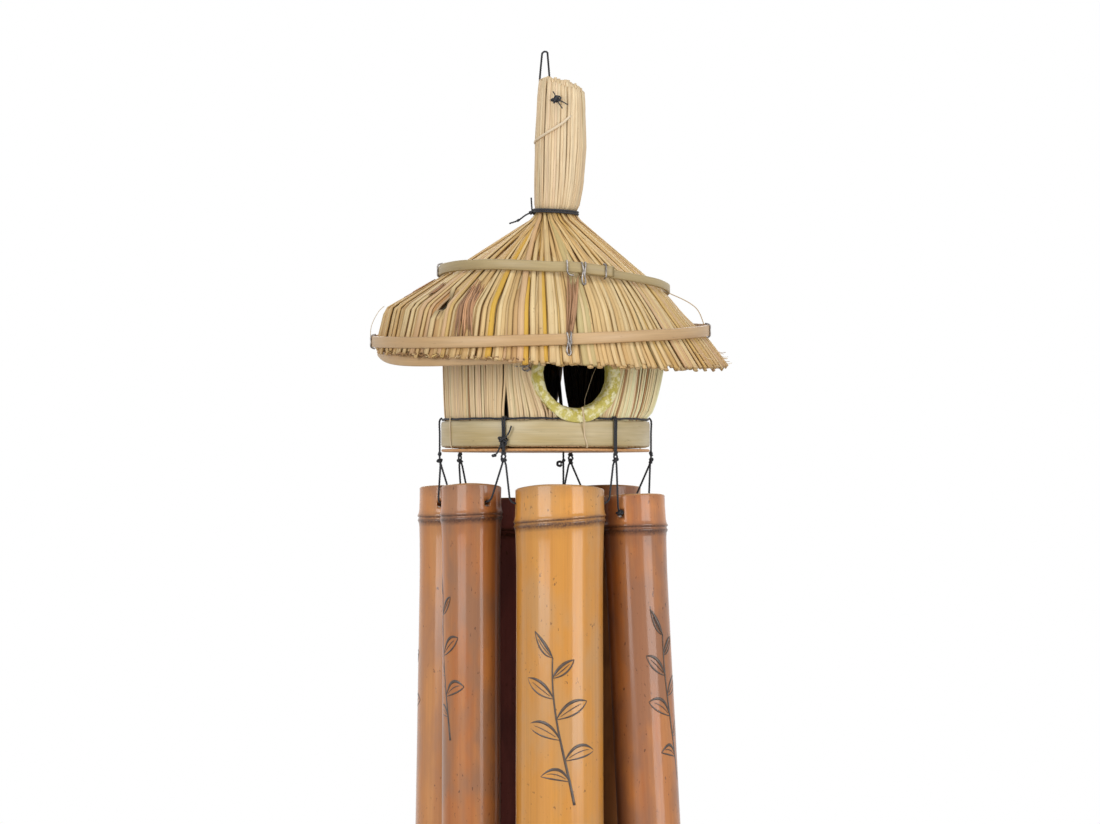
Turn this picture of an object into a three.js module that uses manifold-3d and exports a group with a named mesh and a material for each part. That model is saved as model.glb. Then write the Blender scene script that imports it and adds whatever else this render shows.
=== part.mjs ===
// Bamboo wind chime under a small thatched straw house.
// Millimetres, +Z up. The origin is the point where the hanging loop bears on its hook.
// Angles run round the chime from the house's entrance, which faces -Y, towards +X.

import * as THREE from "three";
import { mergeVertices } from "three/addons/utils/BufferGeometryUtils.js";
import Module from "manifold-3d";

const wasm = await Module();
wasm.setup();

// Clearance between pieces that seat on each other
const GAP = 0.3;

// Black twisted cord
const CORD_RADIUS = 0.55;
const CORD_SIDES = 8;

// Hanging loop, threaded through the straw handle and knotted in front
const LOOP_RISE = 13.4;
const LOOP_HOLE_DEPTH = 12;
const LOOP_HOLE_RADIUS = 2.2;
const LOOP_HOLE_X = 1.5;
const LOOP_STRAND_SPACING = 1.9;
const LOOP_TOP_X = 3.1;
const LOOP_SPREAD = 5.5;
const LOOP_KNOT_RADIUS = 3;

// The side that the roof and the handle lean to
const LEAN_ANGLE = 73;

// Straw handle above the neck tie
const HANDLE_HEIGHT = 69.5;
const HANDLE_TOP_RADIUS = 11.3;
const HANDLE_BELLY_RADIUS = 13;
const HANDLE_LEAN = 3.1;
const HANDLE_TOP_SLOPE = 14;
const HANDLE_STRAWS = 26;
const HANDLE_END_SCATTER = 0.6;
const HANDLE_BELLY_FROM = 0.3;
const HANDLE_BELLY_TO = 0.65;
const STRAW_GROOVE = 0.9;

// Neck, where the straws are tied
const NECK_RADIUS = 10.6;
const NECK_OFFSET = 5.4;
const TIE_TURNS = 2;
const TIE_PITCH = 1.6;
const TIE_TAIL_UP = 6.5;
const TIE_TAIL_OUT = 12;
const TIE_TAIL_LIFT = 0.4;

// Thatched roof
const ROOF_BUNDLES = 10;
const ROOF_BUNDLE_STRAWS = 9;
const ROOF_FIRST_SEAM = -10;
const THATCH_THICKNESS = 4;
const EAVE_THICKNESS = 3.6;
const NECK_COLLAR = 2;
const NECK_COLLAR_FLARE = 0.8;
const SHOULDER_RADIUS = 77.7;
const SHOULDER_SIDE = 5.7;
const SHOULDER_DROP = 51;
const SHOULDER_DROP_SIDE = 2;
const EAVE_FLARE = 5.8;
const EAVE_FLARE_SIDE = 5.3;
const EAVE_DROP = 9.5;
const EAVE_DROP_SIDE = 5.5;
const STRAW_END_SCATTER = 1.6;

// Split bamboo hoops round the roof, each with lapped ends; the lower one stands out from the shoulder
const HOOP_THICKNESS = 1.3;
const STRIP_BEVEL = 0.12;
const SHOULDER_STEP = 8.3;
const UPPER_HOOP = {
  radius: 58.5,
  height: 5.4,
  offset: 4.5,
  drop: 37.5,
  slope: -4.1,
  pitch: 4.5,
  lapFrom: 0,
  lapAngle: 24,
};
const LOWER_HOOP = {
  radius: SHOULDER_RADIUS + SHOULDER_STEP,
  height: 5.8,
  offset: -2.5,
  drop: 66.1,
  slope: 1.9,
  pitch: -3.3,
  lapFrom: 165,
  lapAngle: 24,
};
const EAVE_LINER_HEIGHT = 6;
const EAVE_LINER_DROP = 8;

// Straw wall of the house; its drop is measured from the lowest point of its top
const WALL_RADIUS = 52;
const WALL_FLARE = 2;
const WALL_FLARE_SIDE = 11;
const WALL_THICKNESS = 3;
const WALL_DROP = 71.5;
const WALL_SEAMS = [0, 45, 95, 153, 205, 260, 315];
const WALL_PANEL_STRAWS = 11;
const WALL_GROOVE = 0.54;
const REAR_SLIT_SEAM = 153;
const REAR_SLIT_WIDTH = 5;
const TOP_LINER_HEIGHT = 5;
const TOP_LINER_DROP = 4;

// Bamboo base band, the liner behind it and the floor below it
const BAND_HEIGHT = 12.4;
const BAND_LIFT = 1.4;
const BAND_THICKNESS = 1.3;
const BAND_LAP_ANGLE = 22;
const LINER_THICKNESS = 1.6;
const FLOOR_THICKNESS = 1.9;
const FLOOR_HOLE_RADIUS = 1.6;

// Bark-wrapped entrance ring
const ENTRANCE_OUTER_RADIUS = 22.5;
const ENTRANCE_INNER_RADIUS = 16;
const ENTRANCE_DEPTH = 12;
const ENTRANCE_PROUD = 3.4;
const ENTRANCE_EDGE_WIDTH = 0.6;
const ENTRANCE_EDGE_DEPTH = 0.2;

// Knots below the band and the cords that carry the tubes
const HITCH_ANGLES = [-39.8, 23.9, 73, 148.9, 217.9, 253];
const HITCH_KNOT_RADIUS = 1.8;
const HITCH_KNOT_DROP = 2.4;
const CORD_SPREAD = 1.2;
const CORD_BEND_RADIUS = 3;
const LASHING_BREAK = 3;

// Bamboo tubes, counted round from the front one; the others are shorter than the longest
const TUBE_LENGTH = 310;
const TUBE_WALL = 4;
const TUBE_HOLE_DEPTH = 9.5;
const TUBE_HOLE_RADIUS = 1.75;
const TUBE_NODE_RISE = 0.9;
const TUBE_NODE_GROOVE = 0.2;
const TUBE_NODE_SPREAD = 3.5;
const TUBE_RIDGE_SPACING = 2;
const TUBE_WAIST = 0.6;
const TUBE_WAIST_DEPTH = 32;
const DIAPHRAGM_THICKNESS = 4;
const TUBE_SLANT = 35;
const TUBE_SEGMENTS = 20;
const TUBES = [
  { radius: 22.3, length: TUBE_LENGTH - 10, cordDrop: 22, nodeDepth: 17.5, lean: 0 },
  { radius: 16.3, length: TUBE_LENGTH - 26, cordDrop: 26.3, nodeDepth: 17, lean: 3.1 },
  { radius: 16, length: TUBE_LENGTH - 42, cordDrop: 21.3, nodeDepth: 17, lean: 0 },
  { radius: 21.2, length: TUBE_LENGTH, cordDrop: 27.9, nodeDepth: 17.5, lean: 0 },
  { radius: 15.8, length: TUBE_LENGTH - 48, cordDrop: 21.5, nodeDepth: 16.5, lean: 0.8 },
  { radius: 15.2, length: TUBE_LENGTH - 34, cordDrop: 21, nodeDepth: 16, lean: 0 },
];

// Striker among the tubes and the wind sail below them, on a cord set off from the axis
const MIDDLE_OFFSET = 9.5;
const MIDDLE_ANGLE = 61;
const STRIKER_RADIUS = 12.5;
const STRIKER_THICKNESS = 7;
const STRIKER_BEVEL = 2;
const STRIKER_DROP = 190;
const STRIKER_KNOT_RADIUS = 2.4;
const SAIL_RADIUS = 30;
const SAIL_THICKNESS = 3.6;
const SAIL_DISH = 5;
const SAIL_HOLE_DEPTH = 6;
const SAIL_CLEARANCE = 26;
const SAIL_CORD_LENGTH = 12;

// Levels of the handle
const handleTopZ = -LOOP_RISE;
const loopHoleZ = handleTopZ - LOOP_HOLE_DEPTH;
const neckZ = handleTopZ - HANDLE_HEIGHT;

// Materials
const paint = (color, roughness) => new THREE.MeshStandardMaterial({ color, roughness, metalness: 0 });
const STRAW = paint(0xd3b57c, 0.75);
const OLIVE_BAMBOO = paint(0xab9a68, 0.5);
const TAN_BAMBOO = paint(0xc79f6a, 0.5);
const BARK = paint(0xb9b357, 0.8);
const BLACK_CORD = paint(0x24252b, 0.85);
const CULM = paint(0xc08a48, 0.32);
const RATTAN = paint(0xc08f55, 0.6);
const SHELL = paint(0x4a2f1d, 0.4);

const part = new THREE.Group();

function place(name, geometry, material, parent = part) {
  const mesh = new THREE.Mesh(geometry, material);
  mesh.name = name;
  parent.add(mesh);
  return mesh;
}

// Geometry helpers
const radians = THREE.MathUtils.degToRad;

function ringPoint(radius, angle, z, sideways = 0) {
  const a = radians(angle);
  return new THREE.Vector3(
    radius * Math.sin(a) + sideways * Math.cos(a),
    -radius * Math.cos(a) + sideways * Math.sin(a),
    z,
  );
}

// A repeatable scatter between -1 and 1 for the number of a straw
function scatter(number) {
  const s = Math.sin(number * 12.9898 + 4.1) * 43758.5453;
  return 2 * (s - Math.floor(s)) - 1;
}

function signedVolume(geometry) {
  const p = geometry.getAttribute("position");
  const index = geometry.getIndex();
  const [a, b, c] = [new THREE.Vector3(), new THREE.Vector3(), new THREE.Vector3()];
  let sum = 0;
  for (let i = 0; i < index.count; i += 3) {
    a.fromBufferAttribute(p, index.getX(i));
    b.fromBufferAttribute(p, index.getX(i + 1));
    c.fromBufferAttribute(p, index.getX(i + 2));
    sum += a.dot(b.cross(c)) / 6;
  }
  return sum;
}

function faceOut(geometry) {
  if (signedVolume(geometry) < 0) {
    const list = geometry.getIndex().array;
    for (let i = 0; i < list.length; i += 3) [list[i + 1], list[i + 2]] = [list[i + 2], list[i + 1]];
  }
  return geometry;
}

// The triangles that close a flat ring of points
function capTriangles(ring) {
  const normal = new THREE.Vector3();
  const centre = ring.reduce((sum, p) => sum.add(p), new THREE.Vector3()).divideScalar(ring.length);
  ring.forEach((p, i) => {
    const q = ring[(i + 1) % ring.length];
    normal.add(p.clone().sub(centre).cross(q.clone().sub(centre)));
  });
  const turn = new THREE.Quaternion().setFromUnitVectors(normal.normalize(), new THREE.Vector3(0, 0, 1));
  const flat = ring.map((p) => p.clone().applyQuaternion(turn)).map((p) => new THREE.Vector2(p.x, p.y));
  return THREE.ShapeUtils.triangulateShape(flat, []);
}

// A closed body through rings of equally many points
function loft(rings) {
  const around = rings[0].length;
  const points = rings.flat().flatMap((p) => [p.x, p.y, p.z]);
  const faces = [];
  for (let k = 0; k + 1 < rings.length; k++) {
    for (let i = 0; i < around; i++) {
      const j = (i + 1) % around;
      const [a, b, c, d] = [k * around + i, k * around + j, (k + 1) * around + i, (k + 1) * around + j];
      faces.push(a, b, d, a, d, c);
    }
  }
  const last = (rings.length - 1) * around;
  capTriangles(rings[0]).forEach(([a, b, c]) => faces.push(a, c, b));
  capTriangles(rings.at(-1)).forEach(([a, b, c]) => faces.push(last + a, last + b, last + c));
  const geometry = new THREE.BufferGeometry();
  geometry.setAttribute("position", new THREE.Float32BufferAttribute(points, 3));
  geometry.setIndex(faces);
  return faceOut(geometry);
}

function solidOf(geometry) {
  const bare = geometry.clone();
  bare.deleteAttribute("normal");
  bare.deleteAttribute("uv");
  const merged = mergeVertices(bare, 1e-4);
  const list = merged.getIndex().array;
  const kept = [];
  for (let i = 0; i < list.length; i += 3) {
    const [a, b, c] = [list[i], list[i + 1], list[i + 2]];
    if (a !== b && b !== c && a !== c) kept.push(a, b, c);
  }
  const mesh = new wasm.Mesh({
    numProp: 3,
    vertProperties: merged.getAttribute("position").array,
    triVerts: new Uint32Array(kept),
  });
  return new wasm.Manifold(mesh);
}

function geometryOf(solid) {
  const mesh = solid.getMesh();
  const geometry = new THREE.BufferGeometry();
  geometry.setAttribute("position", new THREE.BufferAttribute(new Float32Array(mesh.vertProperties), 3));
  geometry.setIndex(new THREE.BufferAttribute(new Uint32Array(mesh.triVerts), 1));
  return geometry;
}

function join(...geometries) {
  return geometryOf(geometries.map(solidOf).reduce((all, one) => all.add(one)));
}

function cut(geometry, ...tools) {
  return geometryOf(tools.map(solidOf).reduce((left, tool) => left.subtract(tool), solidOf(geometry)));
}

// A turned body from a profile of [radius, z] pairs
function turned(profile, segments) {
  const points = profile.map(([r, z]) => new THREE.Vector2(r, z));
  const geometry = new THREE.BufferGeometry().copy(new THREE.LatheGeometry(points, segments));
  geometry.deleteAttribute("normal");
  geometry.deleteAttribute("uv");
  return faceOut(mergeVertices(geometry.rotateX(Math.PI / 2)));
}

function drill(radius, length, sides = 12) {
  return new THREE.CylinderGeometry(radius, radius, length, sides);
}

function ball(radius, centre) {
  return new THREE.SphereGeometry(radius, 10, 6).translate(centre.x, centre.y, centre.z);
}

// A round cord along a curve
function cordAlong(curve, steps, radius = CORD_RADIUS, sides = CORD_SIDES) {
  const section = new THREE.Shape();
  for (let i = 0; i < sides; i++) {
    const a = (2 * Math.PI * i) / sides;
    section[i ? "lineTo" : "moveTo"](radius * Math.cos(a), radius * Math.sin(a));
  }
  return new THREE.ExtrudeGeometry(section, { extrudePath: curve, steps, bevelEnabled: false });
}

// A path of straight runs with rounded corners
function roundedPath(points, bendRadius) {
  const path = new THREE.CurvePath();
  let from = points[0];
  for (let i = 1; i + 1 < points.length; i++) {
    const before = points[i - 1].clone().sub(points[i]).normalize();
    const after = points[i + 1].clone().sub(points[i]).normalize();
    const back = bendRadius / Math.tan(before.angleTo(after) / 2);
    const start = points[i].clone().addScaledVector(before, back);
    const end = points[i].clone().addScaledVector(after, back);
    path.add(new THREE.LineCurve3(from, start));
    path.add(new THREE.QuadraticBezierCurve3(start, points[i].clone(), end));
    from = end;
  }
  path.add(new THREE.LineCurve3(from, points.at(-1)));
  return path;
}

// The least gap between stretches of one cord that lie apart along its length
function leastSelfGap(points, radius, skip) {
  let least = Infinity;
  for (let i = 0; i < points.length; i++) {
    for (let j = i + skip; j < points.length; j++) least = Math.min(least, points[i].distanceTo(points[j]));
  }
  return least - 2 * radius;
}

// How far a circle that is set off towards the leaning side lies from the axis at an angle
function offsetRadius(radius, offset, angle) {
  const a = radians(angle - LEAN_ANGLE);
  return offset * Math.cos(a) + Math.sqrt(radius ** 2 - (offset * Math.sin(a)) ** 2);
}

const towardsLean = (angle) => Math.cos(radians(angle - LEAN_ANGLE));
const leanPoint = (distance, z) => ringPoint(distance, LEAN_ANGLE, z);

// Straw handle: a bundle with a grooved skin, cut aslant at the top
function handleRing(level, index) {
  const { height, radius } = level;
  const centre = leanPoint(NECK_OFFSET + HANDLE_LEAN * (height / HANDLE_HEIGHT), neckZ + GAP + height);
  const ring = [];
  for (let i = 0; i < 2 * HANDLE_STRAWS; i++) {
    const angle = (180 * i) / HANDLE_STRAWS;
    const groove = i % 2 ? STRAW_GROOVE : 0;
    const point = ringPoint(radius - groove, angle, 0);
    if (index === "top") {
      const across = point.dot(leanPoint(1, 0));
      const straw = Math.floor(i / 2);
      point.z = HANDLE_END_SCATTER * scatter(straw) - across * Math.tan(radians(HANDLE_TOP_SLOPE));
    }
    ring.push(point.add(centre));
  }
  return ring;
}

function handleGeometry() {
  const topDip = HANDLE_TOP_RADIUS * Math.tan(radians(HANDLE_TOP_SLOPE));
  const full = HANDLE_HEIGHT - GAP - topDip;
  const levels = [
    { height: 0, radius: NECK_RADIUS },
    { height: 2 * TIE_PITCH + CORD_RADIUS, radius: NECK_RADIUS },
    { height: full * HANDLE_BELLY_FROM, radius: HANDLE_BELLY_RADIUS },
    { height: full * HANDLE_BELLY_TO, radius: HANDLE_BELLY_RADIUS },
    { height: full, radius: HANDLE_TOP_RADIUS },
  ];
  const rings = levels.map((level, k) => handleRing(level, k === levels.length - 1 ? "top" : "side"));
  const hole = drill(LOOP_HOLE_RADIUS, 6 * HANDLE_BELLY_RADIUS).translate(LOOP_HOLE_X, 0, loopHoleZ);
  return cut(loft(rings), hole);
}

// Hanging loop: both ends run through the handle into one knot in front of it
function loopGeometry() {
  const lean = leanPoint(NECK_OFFSET + HANDLE_LEAN, 0);
  const across = LOOP_HOLE_X - lean.x;
  const halfDepth = Math.sqrt(HANDLE_BELLY_RADIUS ** 2 - across ** 2);
  const frontY = lean.y - halfDepth - GAP - LOOP_KNOT_RADIUS;
  const backY = lean.y + HANDLE_BELLY_RADIUS + GAP + CORD_RADIUS;
  const strand = (side) => [
    new THREE.Vector3(LOOP_HOLE_X + (side * LOOP_STRAND_SPACING) / 2, frontY, loopHoleZ),
    new THREE.Vector3(LOOP_HOLE_X + (side * LOOP_STRAND_SPACING) / 2, backY, loopHoleZ),
    new THREE.Vector3(LOOP_TOP_X + (side * LOOP_SPREAD) / 2, backY, handleTopZ),
  ];
  const crown = new THREE.Vector3(0, 0, CORD_RADIUS);
  const shoulder = (side) => new THREE.Vector3((side * LOOP_SPREAD) / 4, 0.3 * backY, -2 * CORD_RADIUS);
  const points = [...strand(-1), shoulder(-1), crown, shoulder(1), ...strand(1).reverse()];
  const cord = cordAlong(roundedPath(points, CORD_BEND_RADIUS), 36, CORD_RADIUS, 6);
  return join(cord, ball(LOOP_KNOT_RADIUS, new THREE.Vector3(LOOP_HOLE_X, frontY, loopHoleZ)));
}

// Neck tie: turns of cord round the neck, with two loose tails on the side away from the lean
function tieGeometry() {
  const radius = NECK_RADIUS + GAP + CORD_RADIUS;
  const centre = leanPoint(NECK_OFFSET, 0);
  const bottom = neckZ + GAP + CORD_RADIUS;
  const top = bottom + TIE_TURNS * TIE_PITCH;
  const tailAngle = LEAN_ANGLE + 180;
  const at = (r, angle, z) => ringPoint(r, angle, z).add(centre);
  const points = [
    at(radius + TIE_TAIL_LIFT, tailAngle, top + TIE_TAIL_UP),
    at(radius + TIE_TAIL_LIFT, tailAngle, top + TIE_TAIL_UP / 2),
    at(radius + TIE_TAIL_LIFT / 2, tailAngle, top + CORD_RADIUS),
  ];
  const steps = 24 * TIE_TURNS;
  for (let i = 1; i < steps; i++) {
    const turns = (TIE_TURNS * i) / steps;
    points.push(at(radius, tailAngle + 360 * turns, top - TIE_PITCH * turns));
  }
  points.push(at(radius + TIE_TAIL_OUT / 3, tailAngle, bottom - CORD_RADIUS));
  points.push(at(radius + TIE_TAIL_OUT, tailAngle, bottom - TIE_TAIL_OUT / 3));
  const gap = leastSelfGap(points, CORD_RADIUS, 6);
  console.log(`neck tie: least gap to itself ${gap.toFixed(2)} mm`);
  return cordAlong(new THREE.CatmullRomCurve3(points), points.length + 4, CORD_RADIUS, 6);
}

// Roof: the line of a straw from the neck over the upper hoop's seat and the shoulder to the eave
function hoopFootZ(hoop, angle) {
  const sideways = Math.tan(radians(hoop.slope)) * hoop.radius * towardsLean(angle);
  const forward = Math.tan(radians(hoop.pitch)) * hoop.radius * towardsLean(angle + 90);
  return neckZ - hoop.drop + sideways + forward;
}

const hoopSeatRadius = (hoop, angle) => offsetRadius(hoop.radius - GAP, hoop.offset, angle);

function strawLine(angle, lengthen = 0) {
  const lean = towardsLean(angle);
  const neck = offsetRadius(NECK_RADIUS, NECK_OFFSET, angle);
  const seat = new THREE.Vector2(hoopSeatRadius(LOWER_HOOP, angle), hoopFootZ(LOWER_HOOP, angle));
  const drop = EAVE_DROP + EAVE_DROP_SIDE * lean + lengthen;
  const flare = (EAVE_FLARE + EAVE_FLARE_SIDE * lean) * (drop / (EAVE_DROP + EAVE_DROP_SIDE * lean));
  const shoulderZ = neckZ - SHOULDER_DROP - SHOULDER_DROP_SIDE * lean;
  return [
    new THREE.Vector2(neck, neckZ),
    new THREE.Vector2(neck + NECK_COLLAR_FLARE, neckZ - NECK_COLLAR),
    new THREE.Vector2(hoopSeatRadius(UPPER_HOOP, angle), hoopFootZ(UPPER_HOOP, angle)),
    new THREE.Vector2(SHOULDER_RADIUS - SHOULDER_SIDE * lean, shoulderZ),
    seat,
    new THREE.Vector2(seat.x + flare, seat.y - drop),
  ];
}

// The same line moved into the thatch by a depth at the neck and one at the eave, square to its own direction
function sunkLine(line, depth, eaveDepth = depth) {
  return line.map((p, i) => {
    const before = line[Math.max(i - 1, 0)];
    const after = line[Math.min(i + 1, line.length - 1)];
    const along = after.clone().sub(before).normalize();
    const inward = i ? new THREE.Vector2(along.y, -along.x) : new THREE.Vector2(-1, 0);
    const share = i / (line.length - 1);
    return p.clone().addScaledVector(inward, THREE.MathUtils.lerp(depth, eaveDepth, share));
  });
}

const underside = (angle) => sunkLine(strawLine(angle), THATCH_THICKNESS, EAVE_THICKNESS);

// The height of the roof's underside above a circle round the axis
function undersideZ(angle, radius) {
  const line = underside(angle);
  const next = line.findIndex((p) => p.x > radius);
  const [a, b] = [line[next - 1], line[next]];
  return THREE.MathUtils.lerp(a.y, b.y, (radius - a.x) / (b.x - a.x));
}

// Levels of the house, whose wall leans out towards the roof and hangs below it
const wallFlare = (angle) => WALL_FLARE + WALL_FLARE_SIDE * Math.max(0, towardsLean(angle)) ** 2;
const wallTopZ = (angle) => undersideZ(angle, WALL_RADIUS + wallFlare(angle)) - GAP;
const lowestWallTopZ = Math.min(...WALL_SEAMS.map(wallTopZ));
const wallFootZ = lowestWallTopZ - WALL_DROP;
const bandTopZ = wallFootZ + BAND_LIFT + BAND_HEIGHT;
const bandOuterRadius = WALL_RADIUS + GAP + BAND_THICKNESS;
const lashingZ = bandTopZ + GAP + CORD_RADIUS;
const entranceZ = lashingZ + CORD_RADIUS + GAP + ENTRANCE_OUTER_RADIUS;
const floorTopZ = wallFootZ - GAP;
const floorBottomZ = floorTopZ - FLOOR_THICKNESS;
const knotZ = floorBottomZ - HITCH_KNOT_DROP - HITCH_KNOT_RADIUS;
const knotRingRadius = bandOuterRadius + GAP + CORD_RADIUS;

function roofBundle(number) {
  const from = ROOF_FIRST_SEAM + (360 / ROOF_BUNDLES) * number;
  const columns = 2 * ROOF_BUNDLE_STRAWS;
  const rings = [];
  for (let i = 0; i <= columns; i++) {
    const angle = from + ((360 / ROOF_BUNDLES) * i) / columns;
    const straw = number * ROOF_BUNDLE_STRAWS + Math.min(Math.floor(i / 2), ROOF_BUNDLE_STRAWS - 1);
    const side = i === 0 ? GAP / 2 : i === columns ? -GAP / 2 : 0;
    const line = strawLine(angle, i % 2 ? STRAW_END_SCATTER * scatter(straw) : 0);
    const outer = i % 2 ? line : sunkLine(line, STRAW_GROOVE).map((p, k) => (k ? p : line[0]));
    const inner = underside(angle).reverse();
    rings.push([...outer, ...inner].map((p) => ringPoint(p.x, angle, p.y, side)));
  }
  return loft(rings);
}

// A bent bamboo strip with lapped ends, from its inner radius and its foot's level at each angle
function strip({ lapFrom, lapAngle, height, thickness, innerRadius, footZ, steps = 40 }) {
  const rings = [];
  const sweep = 360 + lapAngle;
  for (let i = 0; i <= steps; i++) {
    const turn = (sweep * i) / steps;
    const angle = lapFrom + turn;
    const climb = THREE.MathUtils.smoothstep(turn, 360 - lapAngle, 360 - lapAngle / 4);
    const inner = innerRadius(angle) + climb * (thickness + GAP);
    const foot = footZ(angle);
    rings.push([
      ringPoint(inner, angle, foot),
      ringPoint(inner + thickness, angle, foot + STRIP_BEVEL * height),
      ringPoint(inner + thickness, angle, foot + (1 - STRIP_BEVEL) * height),
      ringPoint(inner, angle, foot + height),
    ]);
  }
  return loft(rings);
}

function hoopGeometry(hoop) {
  return strip({
    ...hoop,
    thickness: HOOP_THICKNESS,
    innerRadius: (angle) => offsetRadius(hoop.radius, hoop.offset, angle),
    footZ: (angle) => hoopFootZ(hoop, angle),
  });
}

// The liner strip inside the eave, a little below the lower hoop
function eaveLinerGeometry() {
  const foot = (angle) => hoopFootZ(LOWER_HOOP, angle) - EAVE_LINER_DROP;
  const insideAt = (angle, z) => {
    const line = underside(angle);
    const next = line.findIndex((p, i) => i > 0 && (p.y < z || i === line.length - 1));
    const [a, b] = [line[next - 1], line[next]];
    return THREE.MathUtils.lerp(a.x, b.x, (z - a.y) / (b.y - a.y));
  };
  const lapRoom = LINER_THICKNESS + 2 * GAP;
  return strip({
    lapFrom: LOWER_HOOP.lapFrom,
    lapAngle: LOWER_HOOP.lapAngle,
    height: EAVE_LINER_HEIGHT,
    thickness: LINER_THICKNESS,
    innerRadius: (angle) => insideAt(angle, foot(angle) + EAVE_LINER_HEIGHT) - LINER_THICKNESS - lapRoom,
    footZ: foot,
  });
}

// What the entrance ring needs clear in the wall and in the liner inside it
function entranceOpening() {
  return drill(ENTRANCE_OUTER_RADIUS + GAP, 2 * WALL_RADIUS, 24).translate(0, -WALL_RADIUS, entranceZ);
}

// House wall: panels of upright straws between the roof's underside and the floor
const wallBendZ = lashingZ + CORD_RADIUS;
const wallLean = (angle) => wallFlare(angle) / (wallTopZ(angle) - wallBendZ);

function wallPanel(number) {
  const from = WALL_SEAMS[number];
  const to = number + 1 < WALL_SEAMS.length ? WALL_SEAMS[number + 1] : 360;
  const columns = 2 * WALL_PANEL_STRAWS;
  const slit = (seam) => (seam === REAR_SLIT_SEAM ? REAR_SLIT_WIDTH : GAP) / 2;
  const rings = [];
  for (let i = 0; i <= columns; i++) {
    const angle = THREE.MathUtils.lerp(from, to, i / columns);
    const side = i === 0 ? 1 : i === columns ? -1 : 0;
    const footShift = side * slit(side > 0 ? from : to);
    const topShift = (side * GAP) / 2;
    const top = wallTopZ(angle);
    const topRadius = WALL_RADIUS + wallFlare(angle);
    const groove = i % 2 ? 0 : WALL_GROOVE;
    rings.push([
      ringPoint(WALL_RADIUS - groove, angle, wallFootZ, footShift),
      ringPoint(WALL_RADIUS - groove, angle, wallBendZ, footShift),
      ringPoint(topRadius - groove, angle, top, topShift),
      ringPoint(topRadius - WALL_THICKNESS, angle, top, topShift),
      ringPoint(WALL_RADIUS - WALL_THICKNESS, angle, wallBendZ, footShift),
      ringPoint(WALL_RADIUS - WALL_THICKNESS, angle, wallFootZ, footShift),
    ]);
  }
  return cut(loft(rings), entranceOpening());
}

// A plain liner ring inside the wall
function linerGeometry(outerRadius, footZ, height) {
  return turned(
    [
      [outerRadius - LINER_THICKNESS, footZ],
      [outerRadius, footZ],
      [outerRadius, footZ + height],
      [outerRadius - LINER_THICKNESS, footZ + height],
      [outerRadius - LINER_THICKNESS, footZ],
    ],
    32,
  );
}

function topLinerGeometry() {
  const foot = lowestWallTopZ - TOP_LINER_DROP - TOP_LINER_HEIGHT;
  const inside = WALL_RADIUS - WALL_THICKNESS + Math.min(...WALL_SEAMS.map(wallLean)) * (foot - wallBendZ);
  const liner = linerGeometry(inside * Math.cos(Math.PI / 32) - GAP, foot, TOP_LINER_HEIGHT);
  return cut(liner, entranceOpening());
}

function baseBandGeometry() {
  return strip({
    lapFrom: tubeAngle(3),
    lapAngle: BAND_LAP_ANGLE,
    height: BAND_HEIGHT,
    thickness: BAND_THICKNESS,
    innerRadius: () => WALL_RADIUS + GAP,
    footZ: () => wallFootZ + BAND_LIFT,
    steps: 48,
  });
}

function floorGeometry() {
  const disc = turned(
    [
      [0, floorBottomZ],
      [bandOuterRadius, floorBottomZ],
      [bandOuterRadius, floorTopZ],
      [0, floorTopZ],
    ],
    36,
  );
  const hole = drill(FLOOR_HOLE_RADIUS, 4 * FLOOR_THICKNESS).rotateX(Math.PI / 2);
  const { x, y } = ringPoint(MIDDLE_OFFSET, MIDDLE_ANGLE, 0);
  return cut(disc, hole.translate(x, y, floorBottomZ));
}

// Entrance ring: a short sleeve with rounded edges, its axis along Y
function entranceGeometry() {
  const middle = (ENTRANCE_OUTER_RADIUS + ENTRANCE_INNER_RADIUS) / 2;
  const half = (ENTRANCE_OUTER_RADIUS - ENTRANCE_INNER_RADIUS) / 2;
  const front = ENTRANCE_DEPTH;
  const profile = [
    [ENTRANCE_INNER_RADIUS, 0],
    [ENTRANCE_OUTER_RADIUS, 0],
    [ENTRANCE_OUTER_RADIUS, front - half],
    [middle + ENTRANCE_EDGE_WIDTH * half, front - ENTRANCE_EDGE_DEPTH * half],
    [middle, front],
    [middle - ENTRANCE_EDGE_WIDTH * half, front - ENTRANCE_EDGE_DEPTH * half],
    [ENTRANCE_INNER_RADIUS, front - half],
    [ENTRANCE_INNER_RADIUS, 0],
  ];
  const backY = -WALL_RADIUS - ENTRANCE_PROUD + ENTRANCE_DEPTH;
  return turned(profile, 24).rotateX(Math.PI / 2).translate(0, backY, entranceZ);
}

// Lashing: one turn of cord along the top edge of the band, its ends meeting at the first hitch
function lashingGeometry() {
  const radius = WALL_RADIUS + GAP + CORD_RADIUS;
  const start = hitchAngle(0) + LASHING_BREAK / 2;
  const turn = 360 - LASHING_BREAK;
  const points = [];
  const steps = 36;
  for (let i = 0; i <= steps; i++) points.push(ringPoint(radius, start + (turn * i) / steps, lashingZ));
  const gap = leastSelfGap(points, CORD_RADIUS, 3);
  console.log(`lashing: least gap to itself ${gap.toFixed(2)} mm`);
  return cordAlong(new THREE.CatmullRomCurve3(points), 36, CORD_RADIUS, 6);
}

// Each tube hangs midway between two neighbouring hitches
const hitchAngle = (number) => HITCH_ANGLES[number % TUBES.length] + (number < TUBES.length ? 0 : 360);
const tubeAngle = (number) => (hitchAngle(number) + hitchAngle(number + 1)) / 2;
const halfSpread = (number) => radians(hitchAngle(number + 1) - hitchAngle(number)) / 2;

// Hitch: a drop of cord over the band, ending in a knot below the floor
function hitchGeometry(number) {
  const angle = hitchAngle(number);
  const top = ringPoint(knotRingRadius, angle, lashingZ - CORD_RADIUS - GAP);
  const knot = ringPoint(knotRingRadius, angle, knotZ);
  return join(cordAlong(new THREE.LineCurve3(top, knot), 1, CORD_RADIUS, 8), ball(HITCH_KNOT_RADIUS, knot));
}

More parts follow.
